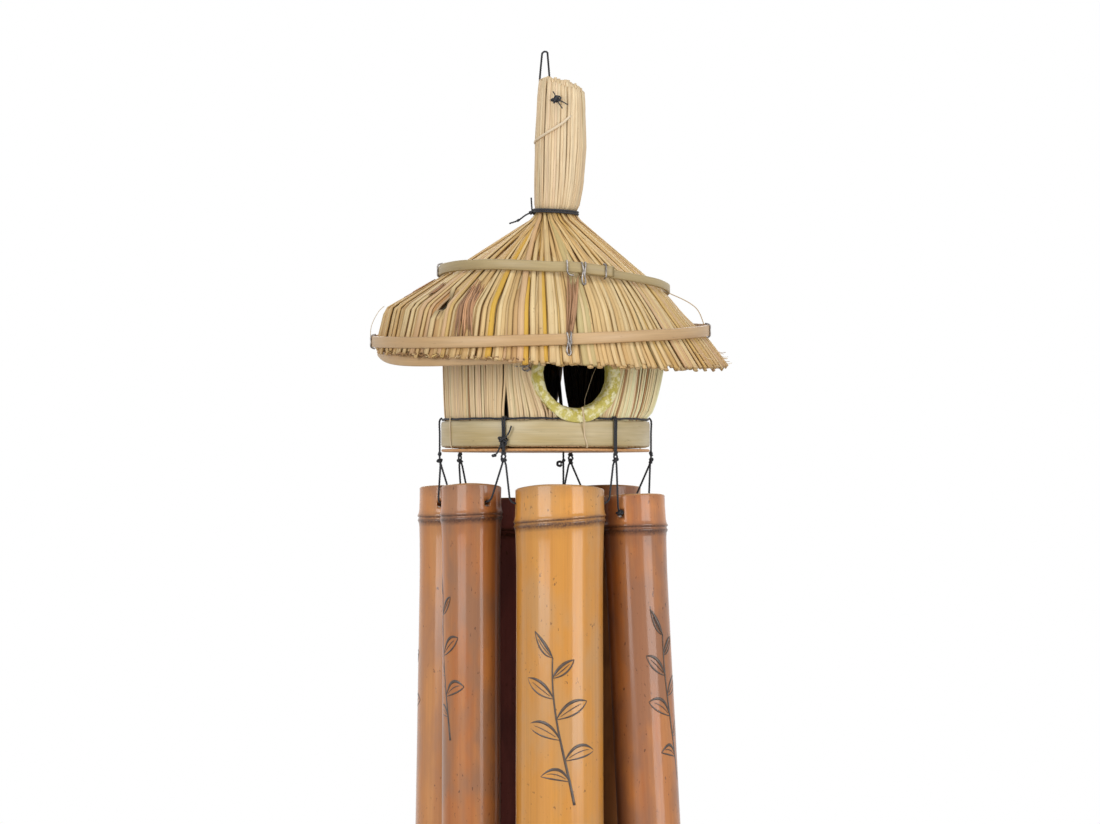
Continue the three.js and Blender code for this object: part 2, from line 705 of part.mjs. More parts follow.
// A tube's own group: its origin is the middle of its cord's run, X along the cord, Y outwards
function tubeGroup(number, tube) {
  const group = new THREE.Group();
  const ringRadius = knotRingRadius * Math.cos(halfSpread(number));
  group.position.copy(ringPoint(ringRadius, tubeAngle(number), knotZ - tube.cordDrop));
  group.rotation.z = radians(tubeAngle(number)) + Math.PI;
  part.add(group);
  return group;
}

// Tube cord: down from one knot, through both holes of the tube and up to the next knot
function tubeCordGeometry(number, tube) {
  const knotHalfSpan = knotRingRadius * Math.sin(halfSpread(number));
  const end = new THREE.Vector3(knotHalfSpan - CORD_SPREAD, 0, tube.cordDrop - HITCH_KNOT_RADIUS - GAP);
  const corner = new THREE.Vector3(tube.radius + CORD_BEND_RADIUS, 0, 0);
  const mirrored = (p) => new THREE.Vector3(-p.x, p.y, p.z);
  const path = roundedPath([end, corner, mirrored(corner), mirrored(end)], CORD_BEND_RADIUS);
  return cordAlong(path, 24, CORD_RADIUS, 6);
}

// Bamboo tube: a culm closed by the diaphragm at its node, open and cut aslant at its foot
function tubeGeometry(tube) {
  const holeZ = -(TUBE_HOLE_RADIUS - CORD_RADIUS - GAP);
  const rimZ = holeZ + TUBE_HOLE_DEPTH;
  const nodeZ = rimZ - tube.nodeDepth;
  const footZ = rimZ - tube.length;
  const bore = tube.radius - TUBE_WALL;
  const waist = tube.radius - TUBE_WAIST;
  const half = DIAPHRAGM_THICKNESS / 2;
  const culm = turned(
    [
      [0, nodeZ + half],
      [bore, nodeZ + half],
      [bore, rimZ],
      [tube.radius, rimZ],
      [tube.radius, nodeZ + TUBE_NODE_SPREAD],
      [tube.radius + TUBE_NODE_RISE, nodeZ + TUBE_RIDGE_SPACING / 2],
      [tube.radius + TUBE_NODE_GROOVE, nodeZ],
      [tube.radius + TUBE_NODE_RISE, nodeZ - TUBE_RIDGE_SPACING / 2],
      [tube.radius, nodeZ - TUBE_NODE_SPREAD],
      [waist, nodeZ - TUBE_WAIST_DEPTH],
      [tube.radius, footZ],
      [bore, footZ],
      [bore, nodeZ - half],
      [0, nodeZ - half],
    ],
    TUBE_SEGMENTS,
  );
  const hole = drill(TUBE_HOLE_RADIUS, 4 * tube.radius).rotateZ(Math.PI / 2).translate(0, 0, holeZ);
  const size = 6 * tube.radius;
  const slant = new THREE.BoxGeometry(size, size, size)
    .translate(0, 0, -size / 2)
    .rotateX(radians(TUBE_SLANT))
    .translate(0, 0, footZ + tube.radius * Math.tan(radians(TUBE_SLANT)));
  return cut(culm, hole, slant).rotateX(radians(tube.lean));
}

// Striker and sail on the middle cord
const strikerZ = floorBottomZ - STRIKER_DROP;
const lowestFootZ = Math.min(...TUBES.map((t) => knotZ - t.cordDrop + TUBE_HOLE_DEPTH - t.length));
const sailPivotZ = lowestFootZ - SAIL_CLEARANCE;
const sailHoleZ = sailPivotZ - SAIL_CORD_LENGTH;

function strikerGeometry() {
  const hole = CORD_RADIUS + GAP;
  const crown = STRIKER_THICKNESS / 2;
  return turned(
    [
      [hole, strikerZ - crown],
      [STRIKER_RADIUS - STRIKER_BEVEL, strikerZ - crown],
      [STRIKER_RADIUS, strikerZ - crown + STRIKER_BEVEL],
      [STRIKER_RADIUS, strikerZ + crown - STRIKER_BEVEL],
      [STRIKER_RADIUS - STRIKER_BEVEL, strikerZ + crown],
      [hole, strikerZ + crown],
      [hole, strikerZ - crown],
    ],
    24,
  );
}

function middleCordGeometry() {
  const top = new THREE.Vector3(0, 0, floorTopZ);
  const foot = new THREE.Vector3(0, 0, sailPivotZ + STRIKER_KNOT_RADIUS + GAP);
  const stop = new THREE.Vector3(0, 0, strikerZ - STRIKER_THICKNESS / 2 - GAP - STRIKER_KNOT_RADIUS);
  return join(cordAlong(new THREE.LineCurve3(top, foot), 1), ball(STRIKER_KNOT_RADIUS, stop));
}

function sailGeometry() {
  const sphere = (SAIL_RADIUS ** 2 + SAIL_DISH ** 2) / (2 * SAIL_DISH);
  const reach = Math.asin(SAIL_RADIUS / sphere);
  const arc = (r, share) => [r * Math.sin(reach * share), r * Math.cos(reach * share) - sphere + SAIL_DISH];
  const outer = sphere + SAIL_THICKNESS / 2;
  const inner = sphere - SAIL_THICKNESS / 2;
  const shares = [0, 0.35, 0.7, 1];
  const profile = [...shares.map((s) => arc(outer, s)), ...shares.reverse().map((s) => arc(inner, s))];
  const centreZ = sailHoleZ + SAIL_HOLE_DEPTH - SAIL_RADIUS;
  const dish = turned(profile, 28).rotateX(Math.PI / 2).translate(0, 0, centreZ);
  const hole = drill(CORD_RADIUS + GAP, 6 * SAIL_DISH).translate(0, 0, sailHoleZ);
  return cut(dish, hole);
}

function sailCordGeometry() {
  const knot = new THREE.Vector3(0, 0, sailPivotZ);
  const front = -SAIL_THICKNESS - CORD_RADIUS;
  const back = SAIL_THICKNESS + GAP + STRIKER_KNOT_RADIUS;
  const path = roundedPath(
    [
      knot,
      new THREE.Vector3(0, front, sailHoleZ + SAIL_HOLE_DEPTH),
      new THREE.Vector3(0, front, sailHoleZ),
      new THREE.Vector3(0, back, sailHoleZ),
    ],
    2 * CORD_RADIUS,
  );
  const stop = new THREE.Vector3(0, back, sailHoleZ);
  const knots = [knot, stop].map((centre) => ball(STRIKER_KNOT_RADIUS, centre));
  return join(cordAlong(path, 12, CORD_RADIUS, 6), ...knots);
}

// Assembly
place("hanging_loop", loopGeometry(), BLACK_CORD);
place("straw_handle", handleGeometry(), STRAW);
place("neck_tie", tieGeometry(), BLACK_CORD);
for (let i = 0; i < ROOF_BUNDLES; i++) place(`roof_bundle_${i + 1}`, roofBundle(i), STRAW);
place("upper_hoop", hoopGeometry(UPPER_HOOP), OLIVE_BAMBOO);
place("lower_hoop", hoopGeometry(LOWER_HOOP), TAN_BAMBOO);
place("eave_liner", eaveLinerGeometry(), TAN_BAMBOO);
WALL_SEAMS.forEach((_, i) => place(`wall_panel_${i + 1}`, wallPanel(i), STRAW));
place("wall_top_liner", topLinerGeometry(), TAN_BAMBOO);
place(
  "wall_base_liner",
  linerGeometry((WALL_RADIUS - WALL_THICKNESS) * Math.cos(Math.PI / 32) - GAP, wallFootZ, BAND_HEIGHT),
  TAN_BAMBOO,
);
place("base_band", baseBandGeometry(), OLIVE_BAMBOO);
place("floor", floorGeometry(), RATTAN);
place("entrance_ring", entranceGeometry(), BARK);
place("lashing", lashingGeometry(), BLACK_CORD);
TUBES.forEach((tube, i) => {
  place(`hitch_${i + 1}`, hitchGeometry(i), BLACK_CORD);
  const group = tubeGroup(i, tube);
  place(`tube_cord_${i + 1}`, tubeCordGeometry(i, tube), BLACK_CORD, group);
  place(`tube_${i + 1}`, tubeGeometry(tube), CULM, group);
});
const middle = new THREE.Group();
middle.position.copy(ringPoint(MIDDLE_OFFSET, MIDDLE_ANGLE, 0));
part.add(middle);
const strikerKnot = new THREE.Vector3(0, 0, floorTopZ + GAP + STRIKER_KNOT_RADIUS);
place("striker_knot", ball(STRIKER_KNOT_RADIUS, strikerKnot), BLACK_CORD, middle);
place("middle_cord", middleCordGeometry(), BLACK_CORD, middle);
place("striker", strikerGeometry(), SHELL, middle);
place("sail_cord", sailCordGeometry(), BLACK_CORD, middle);
place("sail", sailGeometry(), SHELL, middle);

export default part;
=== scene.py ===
"""Looks of a bamboo wind chime under a small thatched straw house.

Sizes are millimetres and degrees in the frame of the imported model: +Z up, the origin where the
hanging loop bears on its hook, angles counted from the entrance (-Y) towards +X.
"""

import math
import random

import bpy
import numpy as np
from mathutils import Matrix, Vector, noise


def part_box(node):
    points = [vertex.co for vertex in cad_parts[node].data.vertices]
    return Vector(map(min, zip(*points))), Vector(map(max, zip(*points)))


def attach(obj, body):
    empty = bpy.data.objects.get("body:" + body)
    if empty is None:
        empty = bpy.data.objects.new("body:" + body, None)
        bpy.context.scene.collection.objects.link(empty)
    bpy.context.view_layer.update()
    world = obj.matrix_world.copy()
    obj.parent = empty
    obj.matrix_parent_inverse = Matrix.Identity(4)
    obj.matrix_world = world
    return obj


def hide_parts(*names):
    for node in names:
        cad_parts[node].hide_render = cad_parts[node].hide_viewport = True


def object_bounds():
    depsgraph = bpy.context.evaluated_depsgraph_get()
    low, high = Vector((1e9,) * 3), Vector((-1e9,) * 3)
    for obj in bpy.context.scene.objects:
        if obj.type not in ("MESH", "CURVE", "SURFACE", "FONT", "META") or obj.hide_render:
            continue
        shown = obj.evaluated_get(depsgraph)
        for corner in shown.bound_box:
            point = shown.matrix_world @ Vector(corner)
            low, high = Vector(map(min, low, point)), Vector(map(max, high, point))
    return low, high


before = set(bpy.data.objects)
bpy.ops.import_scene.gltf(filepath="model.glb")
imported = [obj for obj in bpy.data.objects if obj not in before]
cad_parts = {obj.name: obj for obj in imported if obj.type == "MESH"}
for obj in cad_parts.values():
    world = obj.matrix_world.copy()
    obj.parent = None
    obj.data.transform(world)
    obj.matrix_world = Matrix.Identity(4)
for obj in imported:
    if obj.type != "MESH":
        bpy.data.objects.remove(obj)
cad_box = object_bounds()

MM = 0.001
GAP = 0.3
TURN = 2 * math.pi

# Camera: the photograph looks at the entrance from its left, a little from below
VIEW_AZIMUTH = -17
VIEW_ELEVATION = -1
VIEW_DISTANCE = 2600
VIEW_WIDTH = 567
VIEW_RIGHT_OF_AXIS = 2.4
VIEW_LEVEL = -185.5
SENSOR = 36

# The side that the roof and the handle lean to, and the far side, where the eave is folded
LEAN_ANGLE = 73
FOLD_ANGLE = LEAN_ANGLE + 180

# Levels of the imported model
HANDLE_TOP = -13.4
LOOP_HOLE = -25.4
NECK = -82.9
ENTRANCE = -166.18
LASHING = -189.53
BAND_TOP = -190.38
WALL_FOOT = -204.18
FLOOR_TOP = -204.48
FLOOR_BOTTOM = -206.38
KNOT = -210.58
STRIKER_LEVEL = -396.38
SAIL_PIVOT = -564.98
SAIL_HOLE = -576.98

# Straw work
NECK_RADIUS = 10.6
NECK_OFFSET = 5.4
NECK_COLLAR = 2
NECK_COLLAR_FLARE = 0.8
HANDLE_LEAN = 3.1
HANDLE_BELLY = 13
HANDLE_TOP_RADIUS = 11.3
HANDLE_TOP_SLOPE = 14
SHOULDER_RADIUS = 77.7
SHOULDER_SIDE = 5.7
SHOULDER_DROP = 51
SHOULDER_DROP_SIDE = 2
EAVE_FLARE = 5.8
EAVE_FLARE_SIDE = 5.3
EAVE_DROP = 9.5
EAVE_DROP_SIDE = 5.5
UNDERSIDE_DEPTHS = (4.0, 3.6)
WALL_RADIUS = 52
WALL_FLARE = 2
WALL_FLARE_SIDE = 11.5
WALL_BEND = LASHING + 0.55
REAR_SLIT = 153
REAR_SLIT_WIDTH = 12

# Bamboo strips
STRIP_THICKNESS = 1.3
UPPER_HOOP = dict(radius=58.5, height=5.4, offset=4.5, drop=37.5, slope=-4.1, pitch=4.5, lap_from=0, lap=24)
LOWER_HOOP = dict(radius=86, height=5.8, offset=-2.5, drop=66.1, slope=1.9, pitch=-3.3, lap_from=165, lap=24)
UPPER_HOOP_LAP_SHOWN = 16
EAVE_LINER_HEIGHT = 6
EAVE_LINER_DROP = 8
LINER_THICKNESS = 1.6
BAND_HEIGHT = 12.4
BAND_FOOT = WALL_FOOT + 1.4
BAND_DROOP = 0.9
BAND_RADIUS = WALL_RADIUS + GAP
BAND_OUTER = BAND_RADIUS + STRIP_THICKNESS
BAND_LAP = 22

# Entrance ring
RING_OUTER = 22.5
RING_INNER = 16
RING_DEPTH = 12
RING_FRONT = WALL_RADIUS + 3.4

# Cords
CORD = 0.55
TAIL_CORD = 0.8 * CORD
CORD_STRANDS = 3
CORD_CORE = 0.9
CORD_LOBE = 0.14
CORD_LAY = 4.2
CORD_SIDES = 12
CORD_STEP = 0.45
KNOT_TURN = 0.985
KNOT_DEPTH = 1.25
KNOT_CORD = 0.92
CORD_SPREAD = 1.2
CORD_BEND = 3
HITCH_ANGLES = [-39.8, 23.9, 73, 148.9, 217.9, 253]
KNOT_RING = 54.45
KNOT_RADIUS = 1.8
STOP_KNOT = 2.4
LOOP_HOLE_X = 1.5
LOOP_SPACING = 1.9
LOOP_TOP_X = 3.1
LOOP_SPREAD = 5.5
LOOP_CROWN = 1.5
LOOP_KNOT = 3
TIE_TURNS = 2
TIE_PITCH = 1.05
TIE_SLANT = 0.04

# Striker and sail
MIDDLE_OFFSET = 9.5
MIDDLE_ANGLE = 61
STRIKER_RADIUS = 12.5
STRIKER_THICKNESS = 7
STRIKER_ROUND = 2
SAIL_RADIUS = 30
SAIL_DISH = 5
SAIL_THICKNESS = 3.6
SAIL_HOLE_RADIUS = 0.9
SAIL_HOLE_DEPTH = 6

# Tubes: radius, length, drop of the cord, depth of the node, outward lean
TUBES = [
    (22.3, 300, 22, 17.5, 0),
    (16.3, 284, 26.3, 17, 3.1),
    (16, 268, 21.3, 17, 0),
    (21.2, 310, 27.9, 17.5, 0),
    (15.8, 262, 21.5, 16.5, 0.8),
    (15.2, 276, 21, 16, 0),
]
TUBE_WALL = 4
TUBE_RIM = 8.6
TUBE_HOLE = -0.9
TUBE_HOLE_RADIUS = 1.75
TUBE_SLANT = 35
CUT_BLEND = 60


# Places round the chime


def ring_point(radius, angle, z, sideways=0.0):
    """The point at an angle and a distance from the axis, shifted sideways along the circle."""
    sin, cos = math.sin(math.radians(angle)), math.cos(math.radians(angle))
    return np.array([radius * sin + sideways * cos, sideways * sin - radius * cos, z])


def towards_lean(angle):
    return math.cos(math.radians(angle - LEAN_ANGLE))


def facing(angle, other):
    """1 where two angles agree, 0 from a quarter turn away."""
    return max(0.0, math.cos(math.radians(angle - other)))


def angle_from(angle, other):
    return (angle - other + 180) % 360 - 180


def offset_radius(radius, offset, angle):
    """Distance from the axis to a circle whose centre is moved towards the lean."""
    a = math.radians(angle - LEAN_ANGLE)
    return offset * math.cos(a) + math.sqrt(radius**2 - (offset * math.sin(a)) ** 2)


def smoothstep(low, high, x):
    t = min(max((x - low) / (high - low), 0.0), 1.0)
    return t * t * (3 - 2 * t)


def bell(x, width):
    return math.exp(-((x / width) ** 2))


def hoop_radius(hoop, angle, beyond=0.0):
    return offset_radius(hoop["radius"] + beyond, hoop["offset"], angle)


def hoop_foot(hoop, angle):
    """Level of a tilted hoop's lower edge."""
    rise = math.tan(math.radians(hoop["slope"])) * towards_lean(angle)
    rise += math.tan(math.radians(hoop["pitch"])) * towards_lean(angle + 90)
    return NECK - hoop["drop"] + hoop["radius"] * rise


def straw_line(angle, lengthen=0.0):
    """Outer line of a roof straw as (radius, z): neck, collar, upper hoop, shoulder, lower hoop, eave."""
    lean = towards_lean(angle)
    neck = offset_radius(NECK_RADIUS, NECK_OFFSET, angle)
    seat, seat_z = hoop_radius(LOWER_HOOP, angle, -GAP), hoop_foot(LOWER_HOOP, angle)
    full_drop = EAVE_DROP + EAVE_DROP_SIDE * lean
    drop = full_drop + lengthen
    flare = (EAVE_FLARE + EAVE_FLARE_SIDE * lean) * drop / full_drop
    return np.array(
        [
            (neck, NECK),
            (neck + NECK_COLLAR_FLARE, NECK - NECK_COLLAR),
            (hoop_radius(UPPER_HOOP, angle, -GAP), hoop_foot(UPPER_HOOP, angle)),
            (SHOULDER_RADIUS - SHOULDER_SIDE * lean, NECK - SHOULDER_DROP - SHOULDER_DROP_SIDE * lean),
            (seat, seat_z),
            (seat + flare, seat_z - drop),
        ]
    )


# Colours and materials


def rgb(red, green, blue):
    """A colour as it looks on screen, turned into the linear values that shaders take."""
    values = [c / 255 for c in (red, green, blue)]
    return tuple(c / 12.92 if c <= 0.04045 else ((c + 0.055) / 1.055) ** 2.4 for c in values)


class Shader:
    """A material's node tree, with short calls for the nodes used here."""

    def __init__(self, name):
        self.material = bpy.data.materials.new(name)
        self.material.use_nodes = True
        self.tree = self.material.node_tree

    def put(self, node, inputs):
        for key, value in inputs.items():
            self.feed(node.inputs[key.replace("_", " ")], value)

    def feed(self, socket, value):
        if isinstance(value, bpy.types.NodeSocket):
            self.tree.links.new(value, socket)
        else:
            socket.default_value = (*value, 1) if socket.type == "RGBA" else value

    def node(self, kind, **inputs):
        made = self.tree.nodes.new("ShaderNode" + kind)
        self.put(made, inputs)
        return made

    def surface(self, **inputs):
        self.put(self.tree.nodes["Principled BSDF"], inputs)
        return self.material

    def attribute(self, name, output="Color"):
        made = self.node("Attribute")
        made.attribute_name = name
        return made.outputs[output]

    def noise(self, vector, scale, detail, roughness=0.55):
        made = self.node("TexNoise", Vector=vector, Scale=scale, Detail=detail, Roughness=roughness)
        return made.outputs["Fac"]

    def grain(self, scale, detail, roughness=0.55):
        """Noise in the piece's own grain coordinates."""
        place = self.node("Mapping", Vector=self.attribute("grain", "Vector"), Scale=scale)
        return self.noise(place.outputs["Vector"], 1.0, detail, roughness)

    def ramp(self, value, *stops):
        """A colour ramp: stops are (position, grey value or colour)."""
        made = self.node("ValToRGB", Fac=value)
        elements = made.color_ramp.elements
        while len(elements) < len(stops):
            elements.new(0.5)
        for element, (position, colour) in zip(elements, stops):
            element.position = position
            element.color = (*np.broadcast_to(colour, 3), 1)
        return made.outputs["Color"]

    def mix(self, factor, first, second, blend="MIX"):
        made = self.node("Mix")
        made.data_type = "RGBA"
        made.blend_type = blend
        self.feed(made.inputs["Factor"], factor)
        colours = [socket for socket in made.inputs if socket.type == "RGBA"]
        self.feed(colours[0], first)
        self.feed(colours[1], second)
        return next(socket for socket in made.outputs if socket.type == "RGBA")

    def times(self, first, second):
        return self.mix(1.0, first, second, "MULTIPLY")

    def bump(self, height, distance, strength):
        return self.node("Bump", Height=height, Distance=distance, Strength=strength).outputs["Normal"]


# Straw colours, each as often as its number says
STRAW_COLOURS = [
    (rgb(223, 191, 135), 16),
    (rgb(229, 203, 153), 12),
    (rgb(214, 179, 121), 8),
    (rgb(219, 183, 139), 7),
    (rgb(219, 184, 116), 3),
    (rgb(206, 188, 134), 3),
    (rgb(200, 162, 110), 3),
]
TONES = [colour for colour, share in STRAW_COLOURS for _ in range(share)]
GOLDEN_STRAW = rgb(216, 172, 66)
BLEACHED_STRAW = rgb(232, 212, 182)
WEATHERED_STRAW = rgb(150, 112, 72)
PAINTED_SHADE_STRAW = rgb(44, 34, 28)
# Painted shade: near black, for the dark inside of the house
BACKING_STRAW = rgb(190, 142, 88)
# Painted shade: a darker straw for the inner wall ring seen between the outer straws
LINING_STRAW = rgb(160, 128, 90)
SHEATH_COLOUR = rgb(198, 150, 111)
INK = rgb(52, 40, 34)
PALEST = 0.95
PLAIN_TONE = (1, 1, 1)


def straw_material():
    """Straw: fine streaks, brownish patches and dark spots over each straw's own tone."""
    shader = Shader("straw")
    fibre = shader.grain((2.2, 2.2, 0.05), 4.0)
    patch = shader.grain((0.05, 0.05, 0.07), 2.0)
    spots = shader.grain((0.8, 0.8, 0.5), 2.0)
    colour = shader.times(shader.attribute("tone"), shader.ramp(fibre, (0.3, 0.8), (0.6, 1.0)))
    colour = shader.mix(shader.ramp(patch, (0.5, 0.0), (0.8, 0.3)), colour, rgb(180, 138, 88))
    colour = shader.mix(shader.ramp(spots, (0.7, 0.0), (0.78, 0.45)), colour, rgb(112, 78, 48))
    bump = shader.bump(fibre, 0.00012, 0.7)
    return shader.surface(Base_Color=colour, Roughness=0.52, Specular_IOR_Level=0.4, Normal=bump)


def strip_material(name, pale, deep, dark):
    """Split bamboo: fine grain along the strip, soft blotches and a few dark flecks."""
    shader = Shader(name)
    fibre = shader.grain((1.6, 1.6, 0.03), 4.0)
    blotch = shader.grain((0.12, 0.12, 0.02), 3.0)
    fleck = shader.grain((0.9, 0.9, 0.18), 2.0)
    colour = shader.mix(shader.ramp(blotch, (0.35, 0.0), (0.65, 1.0)), pale, deep)
    colour = shader.times(colour, shader.ramp(fibre, (0.3, 0.88), (0.65, 1.04)))
    colour = shader.mix(shader.ramp(fleck, (0.7, 0.0), (0.8, 0.6)), colour, dark)
    colour = shader.mix(shader.attribute("mark", "Fac"), colour, dark)
    bump = shader.bump(fibre, 0.00015, 0.6)
    return shader.surface(Base_Color=colour, Roughness=0.42, Specular_IOR_Level=0.45, Normal=bump)


def culm_material(name, pale, deep, dull, gloss):
    """Varnished bamboo tube: long streaks, dull patches, specks, brown nodes and pale cut ends."""
    shader = Shader(name)
    fibre = shader.grain((1.1, 1.1, 0.012), 5.0, 0.62)
    wide = shader.grain((0.16, 0.16, 0.008), 3.0)
    patch = shader.grain((0.05, 0.05, 0.022), 3.0)
    speck = shader.grain((0.6, 0.6, 0.35), 2.0)
    crowd = shader.grain((0.05, 0.05, 0.03), 1.0)
    torn = shader.grain((1.0, 1.0, 1.2), 3.0)
    tone = shader.attribute("tone")
    colour = shader.mix(shader.ramp(wide, (0.35, 0.0), (0.68, 1.0)), pale, deep)
    colour = shader.mix(shader.ramp(patch, (0.44, 0.0), (0.6, 0.85)), colour, dull)
    colour = shader.times(colour, shader.ramp(fibre, (0.3, 0.92), (0.66, 1.03)))
    dots = shader.ramp(speck, (0.66, 0.0), (0.72, 0.75))
    dots = shader.times(dots, shader.ramp(crowd, (0.42, 0.0), (0.58, 1.0)))
    colour = shader.mix(dots, colour, rgb(84, 48, 28))
    ragged = shader.times(shader.attribute("mark"), shader.ramp(torn, (0.3, 0.6), (0.6, 1.0)))
    colour = shader.mix(ragged, colour, rgb(74, 42, 26))
    colour = shader.mix(shader.attribute("cut", "Fac"), colour, rgb(196, 156, 104))
    return shader.surface(
        Base_Color=shader.times(colour, tone),
        Roughness=0.5,
        Specular_IOR_Level=shader.ramp(tone, (0.55, 0.02), (0.95, 0.3)),
        Coat_Weight=shader.ramp(tone, (0.55, 0.0), (0.95, gloss)),
        Coat_Roughness=0.12,
        Normal=shader.bump(fibre, 0.0001, 0.4),
    )


def bark_material():
    """Yellow-green bark wound round the entrance: soft pale flakes on an olive ground."""
    shader = Shader("bark")
    broad = shader.grain((0.16, 0.16, 0.16), 2.0)
    flakes = shader.grain((0.27, 0.27, 0.27), 4.0, 0.62)
    fine = shader.grain((1.3, 1.3, 1.3), 3.0)
    ground = shader.ramp(broad, (0.38, 0.0), (0.62, 1.0))
    colour = shader.mix(ground, rgb(182, 167, 64), rgb(206, 193, 104))
    colour = shader.mix(shader.ramp(flakes, (0.47, 0.0), (0.58, 0.9)), colour, rgb(236, 229, 184))
    colour = shader.times(colour, shader.ramp(fine, (0.3, 0.84), (0.6, 1.02)))
    bump = shader.bump(flakes, 0.0006, 0.8)
    return shader.surface(Base_Color=colour, Roughness=0.6, Specular_IOR_Level=0.4, Normal=bump)


def shell_material():
    """Polished coconut shell: dark brown with lighter threads and pores."""
    shader = Shader("coconut_shell")
    thread = shader.grain((0.25, 0.25, 1.1), 4.0)
    pores = shader.grain((1.6, 1.6, 1.6), 2.0)
    browns = (0.32, rgb(62, 38, 22)), (0.55, rgb(98, 62, 36)), (0.72, rgb(146, 104, 66))
    colour = shader.ramp(thread, *browns)
    colour = shader.mix(shader.ramp(pores, (0.66, 0.0), (0.74, 0.7)), colour, rgb(36, 22, 14))
    bump = shader.bump(thread, 0.0002, 0.5)
    return shader.surface(Base_Color=colour, Roughness=0.34, Coat_Weight=0.2, Coat_Roughness=0.2, Normal=bump)


def grained_material(name, scale, detail, dark, pale, bump=(), **surface):
    """A material whose colour runs between two stops along its grain."""
    shader = Shader(name)
    fibre = shader.grain(scale, detail)
    if bump:
        surface["Normal"] = shader.bump(fibre, *bump)
    return shader.surface(Base_Color=shader.ramp(fibre, dark, pale), **surface)


STRAW = straw_material()
OLIVE = strip_material("olive_bamboo", rgb(180, 160, 116), rgb(166, 146, 104), rgb(112, 96, 58))
KHAKI = strip_material("khaki_bamboo", rgb(204, 188, 150), rgb(188, 166, 118), rgb(120, 100, 64))
TAN = strip_material("tan_bamboo", rgb(201, 167, 123), rgb(190, 154, 109), rgb(130, 92, 58))
BARK = bark_material()
SHELL = shell_material()
BLACK = grained_material(
    "black_cord",
    (3.0, 3.0, 0.8),
    3.0,
    (0.3, rgb(14, 15, 20)),
    (0.7, rgb(40, 42, 50)),
    (0.0001, 0.8),
    Roughness=0.72,
    Sheen_Weight=0.15,
)
WIRE = grained_material(
    "fine_wire",
    (0.8, 0.8, 0.4),
    3.0,
    (0.35, rgb(98, 92, 88)),
    (0.65, rgb(172, 166, 162)),
    Metallic=0.75,
    Roughness=0.38,
)
STITCH = grained_material(
    "split_rattan",
    (3.0, 3.0, 0.1),
    3.0,
    (0.3, rgb(190, 164, 124)),
    (0.7, rgb(226, 206, 172)),
    Roughness=0.55,
)
BOARD = grained_material(
    "floor_board",
    (0.9, 0.06, 0.9),
    4.0,
    (0.3, rgb(186, 128, 76)),
    (0.7, rgb(226, 174, 118)),
    (0.0002, 0.6),
    Roughness=0.55,
)
BRUSHED = grained_material(
    "brushed_ink",
    (1.4, 1.4, 0.3),
    4.0,
    (0.35, INK),
    (0.72, rgb(92, 74, 60)),
    Roughness=0.4,
    Coat_Weight=0.2,
    Coat_Roughness=0.2,
)


# Mesh building


class Bodies:
    """Gathers closed bodies into one mesh, with a tone, marks and grain coordinates on each point."""

    def __init__(self, name):
        self.name = name
        self.points, self.faces = [], []
        self.tone, self.grain, self.mark, self.cut = [], [], [], []
        self.count = 0

    def add(self, points, faces, grain, tone=PLAIN_TONE, mark=0.0, cut=0.0):
        points = np.asarray(points, float).reshape(-1, 3)
        size = len(points)
        self.points.append(points)
        self.faces += [[i + self.count for i in face] for face in faces]
        self.grain.append(np.asarray(grain, float).reshape(-1, 3))
        self.tone.append(np.broadcast_to(tone, (size, 3)))
        self.mark.append(np.broadcast_to(mark, size))
        self.cut.append(np.broadcast_to(cut, size))
        self.count += size

    def build(self, material, body, replaces=(), matrix=None):
        mesh = bpy.data.meshes.new(self.name)
        mesh.from_pydata((np.concatenate(self.points) * MM).tolist(), [], self.faces)
        mesh.update()
        rgba = np.column_stack([np.concatenate(self.tone), np.ones(self.count)])
        layers = (
            ("tone", "FLOAT_COLOR", "color", rgba),
            ("grain", "FLOAT_VECTOR", "vector", np.concatenate(self.grain)),
            ("mark", "FLOAT", "value", np.concatenate(self.mark)),
            ("cut", "FLOAT", "value", np.concatenate(self.cut)),
        )
        for name, kind, field, values in layers:
            mesh.attributes.new(name, kind, "POINT").data.foreach_set(field, values.ravel())
        mesh.polygons.foreach_set("use_smooth", [True] * len(mesh.polygons))
        mesh.materials.append(material)
        made = bpy.data.objects.new(self.name, mesh)
        bpy.context.scene.collection.objects.link(made)
        if matrix is not None:
            made.matrix_world = matrix
        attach(made, body)
        if replaces:
            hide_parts(*replaces)
        return made


def unit(vectors):
    return vectors / np.maximum(np.linalg.norm(vectors, axis=-1, keepdims=True), 1e-9)


def level_outs(points):
    """Level directions away from the axis."""
    return unit(np.asarray(points) * [1, 1, 0])


def turns(count):
    return TURN * np.arange(count) / count


def along(points):
    """Distance from the first point to each point of a line."""
    return np.concatenate([[0.0], np.cumsum(np.linalg.norm(np.diff(points, axis=0), axis=1))])


def resample(points, count):
    """The same line with evenly spaced points."""
    points = np.asarray(points, float)
    distance = along(points)
    wanted = np.linspace(0, distance[-1], count)
    return np.stack([np.interp(wanted, distance, values) for values in points.T], axis=1)


def bent(start, corner, end, t):
    """A curve from start to end that a corner draws towards itself."""
    return (1 - t) ** 2 * start + 2 * t * (1 - t) * corner + t**2 * end


def rounded(points, sizes, steps=4):
    """A line of straight runs whose corners are replaced by short curves."""
    points = np.asarray(points, float)
    line = [points[0]]
    for before, corner, after, size in zip(points, points[1:], points[2:], sizes):
        start, end = (
            corner + unit(other - corner) * min(size, 0.48 * np.linalg.norm(other - corner))
            for other in (before, after)
        )
        line += [bent(start, corner, end, t) for t in np.linspace(0, 1, steps + 1)]
    return np.array([*line, points[-1]])


